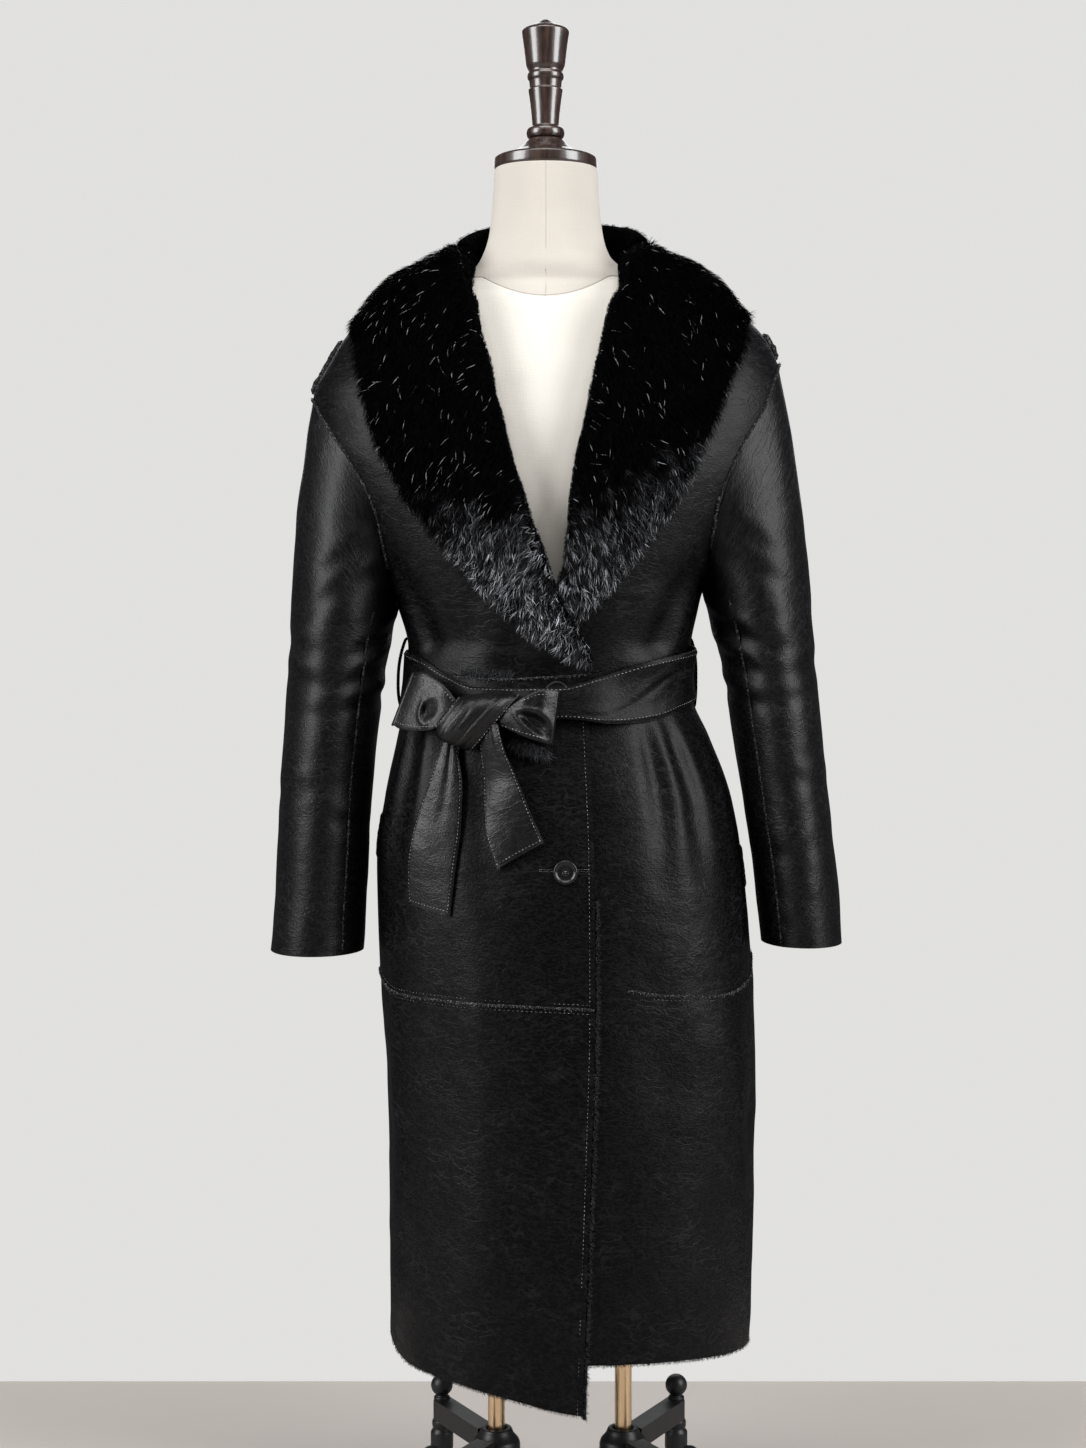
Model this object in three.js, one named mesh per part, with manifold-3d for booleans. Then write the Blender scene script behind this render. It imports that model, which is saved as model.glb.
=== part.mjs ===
// A long belted coat of faux leather with a fur inside and a wide faux fur shawl collar,
// worn by a limbless dress form on a two-pole stand. Millimetres, +Z up, front towards -Y.
// "Right" and "left" are the wearer's: right is -X. Angles run round the body from the
// centre front: -90 is the right side seam, 90 the left one, 180 the centre back.
import * as THREE from 'three';
import Module from 'manifold-3d';

// ---------- driving sizes ----------
const wall = 3; // leather bonded to its fur lining
const seam = 0.3; // gap between two sewn pieces
const roundness = 2.25; // exponent of the body sections: 2 is an ellipse
const neckline = 1275; // top edge of the bodices
const waistLevel = 875; // height at which the bodices' lower corners are worked out
const furPile = 13; // thickness of the collar's fall
const beltThickness = 4;
const frontColumns = 10;
const backColumns = 16;
const armholeSteps = 10; // from the underarm to the shoulder tip

const radians = THREE.MathUtils.degToRad;
const clamp01 = (t) => Math.min(1, Math.max(0, t));
const ramp = (t) => clamp01(t) ** 2 * (3 - 2 * clamp01(t));
const mix = (a, b, t) => a + (b - a) * t;

// A smooth curve through one column of a table, without overshoot between its rows.
function column(rows, along, name) {
  const at = rows.map((row) => row[along]);
  const value = rows.map((row) => row[name]);
  const slope = (i) => (value[i + 1] - value[i]) / (at[i + 1] - at[i]);
  const tangent = at.map((_, i) => {
    if (i === 0) return slope(0);
    if (i === at.length - 1) return slope(i - 1);
    const [before, after] = [slope(i - 1), slope(i)];
    return before * after <= 0 ? 0 : (2 * before * after) / (before + after);
  });
  return (x) => {
    if (x <= at[0]) return value[0];
    if (x >= at[at.length - 1]) return value[at.length - 1];
    const i = at.findIndex((edge) => x < edge) - 1;
    const width = at[i + 1] - at[i];
    const t = (x - at[i]) / width;
    const [t2, t3] = [t * t, t * t * t];
    return (2 * t3 - 3 * t2 + 1) * value[i] + (t3 - 2 * t2 + t) * width * tangent[i]
      + (3 * t2 - 2 * t3) * value[i + 1] + (t3 - t2) * width * tangent[i + 1];
  };
}
const table = (rows, along, names) =>
  Object.fromEntries(names.map((name) => [name, column(rows, along, name)]));

// ---------- the garment's body: sections from the hem to the top of the collar stand ----------
const body = table([
  { z: 160, right: 158, left: 199, front: 150, back: 146 },
  { z: 220, right: 160, left: 201, front: 150, back: 145 },
  { z: 400, right: 162, left: 205, front: 147, back: 143 },
  { z: 480, right: 164, left: 206, front: 146, back: 142 },
  { z: 580, right: 170, left: 202, front: 143, back: 139 },
  { z: 690, right: 173, left: 192, front: 139, back: 133 },
  { z: 753, right: 165, left: 181, front: 131, back: 122 },
  { z: 814, right: 152, left: 158, front: 118, back: 108 },
  { z: 851, right: 145, left: 142, front: 110, back: 98 },
  { z: 875, right: 142, left: 139, front: 107, back: 95 },
  { z: 901, right: 141, left: 140, front: 108, back: 96 },
  { z: 937, right: 150, left: 147, front: 116, back: 102 },
  { z: 960, right: 160, left: 153, front: 120, back: 105 },
  { z: 1000, right: 180, left: 176, front: 125, back: 108 },
  { z: 1050, right: 207, left: 205, front: 126, back: 110 },
  { z: 1100, right: 230, left: 228, front: 121, back: 111 },
  { z: 1149, right: 235, left: 236, front: 110, back: 108 },
  { z: 1183, right: 219, left: 226, front: 99, back: 103 },
  { z: 1216, right: 197, left: 207, front: 87, back: 95 },
  { z: 1243, right: 150, left: 162, front: 74, back: 85 },
  { z: 1262, right: 110, left: 119, front: 63, back: 76 },
  { z: 1283, right: 78, left: 82, front: 53, back: 66 },
  { z: 1310, right: 80, left: 82, front: 53, back: 68 },
  { z: 1345, right: 87, left: 88, front: 56, back: 75 },
], 'z', ['right', 'left', 'front', 'back']);

// Front edges, measured across from the body axis: the right front laps over the left one.
const overEdge = column([
  { z: 160, x: 30 }, { z: 230, x: 32 }, { z: 400, x: 38 }, { z: 560, x: 42 },
  { z: 700, x: 41 }, { z: 825, x: 36 }, { z: 880, x: 34 }, { z: 914, x: 22 },
  { z: 974, x: 1 }, { z: 1027, x: -17 }, { z: 1081, x: -35 }, { z: 1150, x: -52 },
  { z: 1200, x: -65 }, { z: 1250, x: -75 }, { z: 1275, x: -77 },
], 'z', 'x');
const underEdge = column([
  { z: 160, x: -38 }, { z: 700, x: -38 }, { z: 880, x: -34 }, { z: 930, x: -13 },
  { z: 978, x: 3 }, { z: 1000, x: 9 }, { z: 1051, x: 18 }, { z: 1097, x: 28 },
  { z: 1143, x: 38 }, { z: 1193, x: 49 }, { z: 1242, x: 64 }, { z: 1275, x: 76 },
], 'z', 'x');

// Seam and hem heights round the body.
const levels = table([
  { angle: -180, waist: 876, hip: 575, hem: 218 },
  { angle: -90, waist: 876, hip: 581, hem: 216 },
  { angle: -60, waist: 875, hip: 566, hem: 205 },
  { angle: -35, waist: 873, hip: 565, hem: 200 },
  { angle: -15, waist: 871, hip: 564, hem: 190 },
  { angle: 0, waist: 873, hip: 562, hem: 178 },
  { angle: 12, waist: 876, hip: 558, hem: 170 },
], 'angle', ['waist', 'hip', 'hem']);
const underLevels = table([
  { angle: -20, waist: 876, hip: 580, hem: 223 },
  { angle: 10, waist: 877, hip: 579, hem: 223 },
  { angle: 28, waist: 880, hip: 571, hem: 222 },
  { angle: 50, waist: 878, hip: 567, hem: 218 },
  { angle: 72, waist: 876, hip: 575, hem: 214 },
  { angle: 90, waist: 876, hip: 597, hem: 212 },
  { angle: 180, waist: 876, hip: 575, hem: 218 },
], 'angle', ['waist', 'hip', 'hem']);

// The largest folds: troughs under the belt and creases of the bodice, and the hem's waves.
const folds = [
  { angle: -58, spread: 5, depth: 5, top: 840, bottom: 640 },
  { angle: -22, spread: 4, depth: 4, top: 815, bottom: 560 },
  { angle: 31, spread: 3.5, depth: 6, top: 845, bottom: 640 },
  { angle: 47, spread: 4, depth: 5, top: 845, bottom: 660 },
  { angle: 66, spread: 5, depth: 4, top: 840, bottom: 690 },
  { angle: 24, spread: 8, depth: 4, top: 660, bottom: 330 },
  { angle: 128, spread: 6, depth: 6, top: 845, bottom: 560 },
  { angle: 158, spread: 5, depth: 5, top: 845, bottom: 620 },
  { angle: -140, spread: 6, depth: 6, top: 845, bottom: 590 },
  { angle: -168, spread: 5, depth: 5, top: 845, bottom: 640 },
  { angle: -118, spread: 6, depth: 4, top: 560, bottom: 250 },
  { angle: 145, spread: 8, depth: 5, top: 520, bottom: 215 },
  { angle: -52, spread: 6, depth: 4, top: 985, bottom: 890 },
  { angle: 44, spread: 6, depth: 4, top: 985, bottom: 890 },
  { angle: 140, spread: 7, depth: 5, top: 1010, bottom: 890 },
  { angle: -146, spread: 7, depth: 5, top: 1010, bottom: 890 },
];
function foldDepth(degrees, z) {
  return folds.reduce((sum, fold) => {
    const height = (z - fold.bottom) / (fold.top - fold.bottom);
    if (height <= 0 || height >= 1) return sum;
    const across = (degrees - fold.angle) / fold.spread;
    return sum + fold.depth * Math.exp(-across * across) * Math.sin(Math.PI * height);
  }, 0);
}

// ---------- points on the body ----------
const power = (value, exponent) => Math.sign(value) * Math.abs(value) ** exponent;
function sectionPoint(rows, degrees, z) {
  const turn = radians(degrees);
  const half = (rows.left(z) + rows.right(z)) / 2;
  const centre = (rows.left(z) - rows.right(z)) / 2;
  const depth = Math.cos(turn) >= 0 ? rows.front(z) : rows.back(z);
  return new THREE.Vector3(
    centre + half * power(Math.sin(turn), 2 / roundness),
    -depth * power(Math.cos(turn), 2 / roundness),
    z,
  );
}
const probe = 0.05; // degrees and millimetres stepped to find which way a surface faces
function bodyNormal(degrees, z) {
  const around = sectionPoint(body, degrees + probe, z).sub(sectionPoint(body, degrees - probe, z));
  const up = sectionPoint(body, degrees, z + 1).sub(sectionPoint(body, degrees, z - 1));
  return around.cross(up).normalize();
}
// The cloth's outer face, moved out by lift, with its folds pressed in.
function bodyPoint(degrees, z, lift = 0) {
  return sectionPoint(body, degrees, z)
    .addScaledVector(bodyNormal(degrees, z), lift - foldDepth(degrees, z));
}
// The angle at which a section reaches a place across the body.
function angleAt(x, z, onBack = false) {
  const half = (body.left(z) + body.right(z)) / 2;
  const centre = (body.left(z) - body.right(z)) / 2;
  const share = Math.min(1, Math.abs((x - centre) / half)) ** (roundness / 2);
  const degrees = Math.sign(x - centre) * THREE.MathUtils.radToDeg(Math.asin(share));
  if (!onBack) return degrees;
  return (degrees < 0 ? -180 : 180) - degrees;
}

// The right front rises over the left one, and higher over the end of the left collar.
const lapLift = 5;
const collarLift = 6;
function overLift(degrees, z) {
  const x = sectionPoint(body, degrees, z).x;
  if (Math.abs(degrees) > 90) return 0;
  const inLap = ramp((x - underEdge(z) + 72) / 50) * ramp((1075 - z) / 60);
  const overCollar = ramp((z - 876) / 26) * ramp((1075 - z) / 60) * ramp((x - overEdge(z) + 62) / 34);
  return lapLift * inLap + collarLift * overCollar;
}
// What lies on the finished coat rests on this: it steps down past the lapping edge.
function coatLift(degrees, z) {
  const past = sectionPoint(body, degrees, z).x - overEdge(z);
  return overLift(degrees, z) * (past < 2 ? 1 : 1 - ramp((past - 2) / 26));
}

// ---------- solids ----------
const leather = { color: 0x15161a, roughness: 0.5, metalness: 0 };
const fur = { color: 0x08080a, roughness: 0.95, metalness: 0 };
const rawEdge = { color: 0x3a3a3c, roughness: 0.95, metalness: 0 };
const linen = { color: 0xd9d3c7, roughness: 0.9, metalness: 0 };
const darkWood = { color: 0x1f1412, roughness: 0.25, metalness: 0 };
const brass = { color: 0xc79a7d, roughness: 0.3, metalness: 1 };
const blackMetal = { color: 0x1b1b1d, roughness: 0.4, metalness: 0.6 };
const horn = { color: 0x101012, roughness: 0.3, metalness: 0 };

const part = new THREE.Group();
function place(name, geometry, finish) {
  const mesh = new THREE.Mesh(geometry, new THREE.MeshStandardMaterial(finish));
  mesh.name = name;
  part.add(mesh);
  return mesh;
}
function indexed(points, faces) {
  const geometry = new THREE.BufferGeometry();
  geometry.setAttribute(
    'position', new THREE.Float32BufferAttribute(points.flatMap((p) => [p.x, p.y, p.z]), 3),
  );
  const volume = faces.reduce(
    (sum, [a, b, c]) => sum + points[a].dot(points[b].clone().cross(points[c])), 0,
  );
  geometry.setIndex((volume < 0 ? faces.map(([a, b, c]) => [a, c, b]) : faces).flat());
  geometry.computeVertexNormals();
  return geometry;
}
// A wall between two grids of points, grid[row][column]. A closed one joins its last column
// to its first, and a ring also joins its last row to its first.
function wallBetween(outer, inner, { closed = false, ring = false } = {}) {
  const [rows, columns] = [outer.length, outer[0].length];
  const points = [...outer.flat(), ...inner.flat()];
  const outside = (r, c) => (r % rows) * columns + (c % columns);
  const inside = (r, c) => rows * columns + outside(r, c);
  const faces = [];
  const quad = (a, b, c, d) => faces.push([a, b, c], [a, c, d]);
  const lastRow = ring ? rows : rows - 1;
  const lastColumn = closed ? columns : columns - 1;
  for (let r = 0; r < lastRow; r += 1) {
    for (let c = 0; c < lastColumn; c += 1) {
      quad(outside(r, c), outside(r, c + 1), outside(r + 1, c + 1), outside(r + 1, c));
      quad(inside(r, c), inside(r + 1, c), inside(r + 1, c + 1), inside(r, c + 1));
    }
  }
  if (!ring) {
    for (let c = 0; c < lastColumn; c += 1) {
      quad(outside(0, c), inside(0, c), inside(0, c + 1), outside(0, c + 1));
      quad(outside(rows - 1, c), outside(rows - 1, c + 1), inside(rows - 1, c + 1), inside(rows - 1, c));
    }
  }
  if (!closed) {
    for (let r = 0; r < lastRow; r += 1) {
      quad(outside(r, 0), outside(r + 1, 0), inside(r + 1, 0), inside(r, 0));
      quad(outside(r, columns - 1), inside(r, columns - 1), inside(r + 1, columns - 1),
        outside(r + 1, columns - 1));
    }
  }
  return indexed(points, faces);
}
const steps = (count) => Array.from({ length: count + 1 }, (_, i) => i / count);

// A strip laid on the coat: across(u) and along(v) give an angle and a height, lift its underside.
function laidStrip({ across, along, at, lift, thickness }) {
  const grid = (raise) => steps(along).map((v) => steps(across).map((u) => {
    const { angle, z } = at(u, v);
    return bodyPoint(angle, z, lift(angle, z, u, v) + raise);
  }));
  return wallBetween(grid(thickness), grid(0));
}

// ---------- armholes ----------
// Distance of each armhole edge from the body axis, from the underarm to the shoulder tip.
const armholes = {
  right: {
    sign: -1,
    edge: [
      { z: 940, x: 151.5 }, { z: 985, x: 159 }, { z: 1041, x: 171 }, { z: 1083, x: 193 },
      { z: 1111, x: 212 }, { z: 1149, x: 235 },
    ],
  },
  left: {
    sign: 1,
    edge: [
      { z: 957, x: 152 }, { z: 1011, x: 157 }, { z: 1048, x: 163 }, { z: 1093, x: 182 },
      { z: 1138, x: 208 }, { z: 1183, x: 226 },
    ],
  },
};
for (const armhole of Object.values(armholes)) {
  const { edge, sign } = armhole;
  const [low, high] = [edge[0].z, edge[edge.length - 1].z];
  const reach = column(edge, 'z', 'x');
  armhole.low = low;
  armhole.high = high;
  armhole.heights = steps(armholeSteps).map((t) => mix(low, high, (1 - Math.cos(Math.PI * t)) / 2));
  armhole.angle = (z, onBack) => {
    if (z <= low || z >= high) return sign * 90;
    return angleAt(sign * reach(z), z, onBack);
  };
  // The cloth turns over at the underarm, so its thickness there points up.
  armhole.facing = (z, onBack) => {
    const turnOver = ramp((low + 34 - z) / 34);
    return bodyNormal(armhole.angle(z, onBack), z).lerp(new THREE.Vector3(0, 0, -1), turnOver).normalize();
  };
}

// ---------- panels ----------
// Each panel is a grid: rows of heights, columns of angles between two edges.
function panel({ rowCount, columns, height, edges, lift = () => 0, facing, shift = 0 }) {
  const grid = (depth) => Array.from({ length: rowCount }, (_, row) => steps(columns).map((u, c) => {
    const [start, end] = edges(row);
    const angle = mix(start, end, u);
    const z = height(row, angle, u);
    const direction = facing?.(row, c, z) ?? bodyNormal(angle, z);
    const point = bodyPoint(angle, z, lift(angle, z)).addScaledVector(direction, -depth);
    point.y += shift;
    return point;
  }));
  return wallBetween(grid(0), grid(wall));
}
const belowArmhole = [0, 0.4, 0.75]; // shares of the way from the waist to the underarm
const aboveArmhole = [0.2, 0.42, 0.64, 0.86, 1]; // and from the shoulder tip to the neckline
function bodiceHeights({ low, high, heights }) {
  return [
    ...belowArmhole.map((t) => mix(waistLevel, low, t)),
    ...heights,
    ...aboveArmhole.map((t) => mix(high, neckline, t)),
  ];
}
const bodiceRows = {
  right: bodiceHeights(armholes.right), left: bodiceHeights(armholes.left),
};
const inArmhole = (side, z) => z >= armholes[side].low - 1e-6 && z <= armholes[side].high + 1e-6;

function frontBodice(side) {
  const { angle: outerAngle, facing } = armholes[side];
  const rows = bodiceRows[side];
  const [edge, waist, lift] = side === 'right'
    ? [overEdge, levels.waist, overLift] : [underEdge, underLevels.waist, () => 0];
  place(`front_bodice_${side}`, panel({
    rowCount: rows.length,
    columns: frontColumns,
    edges: (row) => [outerAngle(rows[row], false), angleAt(edge(rows[row]), rows[row])],
    height: (row, angle) => (row === 0 ? waist(angle) + seam / 2 : rows[row]),
    lift,
    facing: (row, c, z) => (c === 0 && inArmhole(side, z) ? facing(z, false) : undefined),
    shift: -seam / 2,
  }), leather);
}
function backBodice() {
  place('back_bodice', panel({
    rowCount: bodiceRows.right.length,
    columns: backColumns,
    edges: (row) => [
      armholes.left.angle(bodiceRows.left[row], true),
      360 + armholes.right.angle(bodiceRows.right[row], true),
    ],
    height: (row, angle, u) => (
      row === 0 ? levels.waist(-180) + seam / 2 : mix(bodiceRows.left[row], bodiceRows.right[row], u)),
    facing: (row, c, z) => {
      if (c === 0 && inArmhole('left', z)) return armholes.left.facing(z, true);
      if (c === backColumns && inArmhole('right', z)) return armholes.right.facing(z, true);
      return undefined;
    },
    shift: seam / 2,
  }), leather);
}
// Panels between two seams: rows in shares of the way up, closer together under the belt.
const hipShares = [0, 0.26, 0.48, 0.64, 0.76, 0.85, 0.92, 1];
const skirtShares = steps(6);
const edgeAngles = { right: 12, left: -16 }; // where the front edges lie, near enough
function lowerPanel(name, side, { shares, lower, upper }) {
  const [edge, lift] = side === 'right' ? [overEdge, overLift] : [underEdge, () => 0];
  const edgeHeight = (row) => mix(lower(edgeAngles[side]), upper(edgeAngles[side]), shares[row]);
  place(`${name}_${side}`, panel({
    rowCount: shares.length,
    columns: side === 'back' ? backColumns : frontColumns,
    edges: (row) => (side === 'back' ? [90, 270]
      : [side === 'right' ? -90 : 90, angleAt(edge(edgeHeight(row)), edgeHeight(row))]),
    height: (row, angle) => {
      const around = angle > 180 ? angle - 360 : angle;
      return mix(lower(around), upper(around), shares[row]);
    },
    lift: side === 'back' ? () => 0 : lift,
    shift: side === 'back' ? seam / 2 : -seam / 2,
  }), leather);
}
const sideLevels = (side, angle) => (side === 'right' || (side === 'back' && angle < 0) ? levels : underLevels);
function lowerPanels(side) {
  lowerPanel('hip_panel', side, {
    shares: hipShares,
    lower: (angle) => sideLevels(side, angle).hip(angle) + seam / 2,
    upper: (angle) => sideLevels(side, angle).waist(angle) - seam / 2,
  });
  lowerPanel('skirt', side, {
    shares: skirtShares,
    lower: (angle) => sideLevels(side, angle).hem(angle),
    upper: (angle) => sideLevels(side, angle).hip(angle) - seam / 2,
  });
}

// ---------- sleeves ----------
// Distances of the sleeve's outer and inner lines from the body axis, and half its depth.
const sleeves = {
  right: table([
    { z: 601, outer: 278, inner: 186, half: 64, forward: 12 },
    { z: 657, outer: 274, inner: 183, half: 65, forward: 11 },
    { z: 737, outer: 270, inner: 179, half: 67, forward: 9 },
    { z: 797, outer: 267, inner: 174, half: 69, forward: 7 },
    { z: 857, outer: 262, inner: 166, half: 71, forward: 5 },
    { z: 900, outer: 260, inner: 160, half: 73, forward: 4 },
    { z: 938, outer: 258, inner: 156, half: 75, forward: 3 },
    { z: 1018, outer: 253, inner: 156, half: 74, forward: 2 },
    { z: 1086, outer: 246, inner: 158, half: 68, forward: 1 },
    { z: 1149, outer: 236, inner: 160, half: 58, forward: 0 },
  ], 'z', ['outer', 'inner', 'half', 'forward']),
  left: table([
    { z: 609, outer: 291, inner: 211, half: 62, forward: 12 },
    { z: 675, outer: 286, inner: 204, half: 63, forward: 11 },
    { z: 747, outer: 278, inner: 193, half: 66, forward: 9 },
    { z: 817, outer: 271, inner: 182, half: 69, forward: 7 },
    { z: 869, outer: 266, inner: 174, half: 71, forward: 5 },
    { z: 905, outer: 263, inner: 166, half: 73, forward: 4 },
    { z: 958, outer: 259, inner: 158, half: 75, forward: 3 },
    { z: 1026, outer: 252, inner: 156, half: 74, forward: 2 },
    { z: 1090, outer: 244, inner: 158, half: 70, forward: 1 },
    { z: 1183, outer: 227, inner: 160, half: 58, forward: 0 },
  ], 'z', ['outer', 'inner', 'half', 'forward']),
};
const cuffs = { right: 601, left: 609 };
const headSteps = 5; // rows from the armhole to the first level ring
const armSteps = 6; // rows from there to the cuff
const headEnd = { right: 900, left: 905 };
const sleeveGap = 1; // the cloth turns sharply at the armhole, so its gap is wider there
function sleevePoint(side, turn, z) {
  const { outer, inner, half, forward } = sleeves[side];
  const { sign } = armholes[side];
  const middle = (outer(z) + inner(z)) / 2;
  const width = (outer(z) - inner(z)) / 2;
  return new THREE.Vector3(
    sign * (middle + width * Math.cos(turn)), -half(z) * Math.sin(turn) - forward(z), z,
  );
}
function sleeve(side) {
  const { heights, angle: armholeAngle, facing } = armholes[side];
  const around = 2 * armholeSteps; // shoulder tip, down the front, underarm, up the back
  const loop = Array.from({ length: around }, (_, k) => {
    const onBack = k > armholeSteps;
    const z = heights[onBack ? k - armholeSteps : armholeSteps - k];
    const point = bodyPoint(armholeAngle(z, onBack), z);
    point.y += (onBack ? seam : -seam) / 2 * (k % armholeSteps === 0 ? 0 : 1);
    return { z, point, out: facing(z, onBack), turn: Math.PI * k / armholeSteps };
  });
  const outer = [];
  for (let row = 0; row <= headSteps + armSteps; row += 1) {
    const t = Math.min(1, row / headSteps);
    outer.push(loop.map(({ z: top, point, turn }) => {
      const fromHead = (row - headSteps) / armSteps;
      const z = row <= headSteps ? mix(top, headEnd[side], t) : mix(headEnd[side], cuffs[side], fromHead);
      const correction = point.clone().sub(sleevePoint(side, turn, top));
      return sleevePoint(side, turn, z).addScaledVector(correction, (1 - t) ** 2);
    }));
  }
  const inner = outer.map((ring, row) => ring.map((point, k) => {
    if (row === 0) return point.clone().addScaledVector(loop[k].out, -wall);
    const next = ring[(k + 1) % around];
    const before = ring[(k + around - 1) % around];
    const below = outer[Math.min(row + 1, outer.length - 1)][k];
    const above = outer[row - 1][k];
    const normal = next.clone().sub(before).cross(above.clone().sub(below)).normalize();
    const centre = ring.reduce((sum, p) => sum.add(p), new THREE.Vector3()).divideScalar(around);
    if (normal.dot(point.clone().sub(centre)) < 0) normal.negate();
    return point.clone().addScaledVector(normal, -wall);
  }));
  // The first ring stands off the bodices' edges, square to the thickness of the cloth there.
  const gaps = loop.map(({ out }, k) => loop[(k + 1) % around].point.clone()
    .sub(loop[(k + around - 1) % around].point).cross(out).setLength(-armholes[side].sign * sleeveGap));
  gaps.forEach((gap, k) => {
    outer[0][k].add(gap);
    inner[0][k].add(gap);
  });
  place(`sleeve_${side}`, wallBetween(outer, inner, { closed: true }), leather);
}

// ---------- the shawl collar ----------
// From the centre back to the front tip: where the collar leaves the neckline (neck), its
// outer edge (fall), how far it stands past the neckline before it rolls over (stand), and
// the thickness of the roll. On the front the neckline is the bodice's own edge, and the
// fall's place is measured from the body axis.
const collarRows = {
  right: [
    { neckAngle: -180, neckZ: 1275, fallAngle: -180, fallZ: 1128, stand: 56, roll: 25 },
    { neckAngle: -152, neckZ: 1275, fallAngle: -157, fallZ: 1133, stand: 54, roll: 25 },
    { neckAngle: -122, neckZ: 1275, fallAngle: -130, fallZ: 1158, stand: 48, roll: 25 },
    { neckAngle: -97, neckZ: 1276, fallAngle: -101, fallZ: 1208, stand: 38, roll: 24 },
    { neckZ: 1282, fallX: -198, fallZ: 1203, stand: 29, roll: 23 },
    { neckZ: 1240, fallX: -196, fallZ: 1174, stand: 19, roll: 20 },
    { neckZ: 1205, fallX: -187, fallZ: 1142, stand: 12, roll: 17 },
    { neckZ: 1150, fallX: -170, fallZ: 1086, stand: 8, roll: 14 },
    { neckZ: 1086, fallX: -142, fallZ: 1042, stand: 7, roll: 13 },
    { neckZ: 1027, fallX: -96, fallZ: 988, stand: 7, roll: 13 },
    { neckZ: 974, fallX: -57, fallZ: 947, stand: 7, roll: 12 },
    { neckZ: 925, fallX: -16, fallZ: 910, stand: 6, roll: 10 },
    { neckZ: 888, fallX: 17, fallZ: 890, stand: 4, roll: 7 },
  ],
  left: [
    { neckAngle: 180, neckZ: 1275, fallAngle: 180, fallZ: 1128, stand: 56, roll: 25 },
    { neckAngle: 152, neckZ: 1275, fallAngle: 157, fallZ: 1133, stand: 54, roll: 25 },
    { neckAngle: 122, neckZ: 1275, fallAngle: 130, fallZ: 1160, stand: 48, roll: 25 },
    { neckAngle: 97, neckZ: 1276, fallAngle: 101, fallZ: 1214, stand: 38, roll: 24 },
    { neckZ: 1281, fallX: 200, fallZ: 1211, stand: 29, roll: 23 },
    { neckZ: 1240, fallX: 196, fallZ: 1182, stand: 19, roll: 20 },
    { neckZ: 1200, fallX: 181, fallZ: 1147, stand: 12, roll: 17 },
    { neckZ: 1143, fallX: 163, fallZ: 1103, stand: 8, roll: 14 },
    { neckZ: 1092, fallX: 134, fallZ: 1050, stand: 7, roll: 13 },
    { neckZ: 1046, fallX: 98, fallZ: 1000, stand: 7, roll: 13 },
    { neckZ: 1000, fallX: 62, fallZ: 955, stand: 6, roll: 12 },
    { neckZ: 968, fallX: 35, fallZ: 925, stand: 4, roll: 8 },
    { neckZ: 937, fallX: 14, fallZ: 905, stand: 3, roll: 6 },
  ],
};
const firstFrontRow = 4;
const collarGap = 1.9; // between the collar and the cut edge of a bodice
// The collar's section, from the inside of the stand over the roll to the outer edge: a place
// past the neckline in shares of the stand, or down the fall in shares of it, and a height in
// shares of the roll or of the pile.
const collarSection = [
  { stand: 0.1, inside: 1 }, { stand: 0.5, inside: 1.2 }, { stand: 0.85, inside: 0.8 },
  { stand: 1, roll: 0.3 }, { stand: 1, roll: 0.65 }, { stand: 0.75, roll: 0.95 },
  { stand: 0.2, roll: 1 }, { fall: 0.14, pile: 1.12 }, { fall: 0.34, pile: 1 },
  { fall: 0.56, pile: 1 }, { fall: 0.78, pile: 1 }, { fall: 0.93, pile: 0.85 },
  { fall: 1, pile: 0.6 },
];
const collarBack = [0, 0.14, 0.34, 0.56, 0.78, 0.94, 1]; // the underside, in shares of the fall
const collarSteps = 22;
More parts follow.
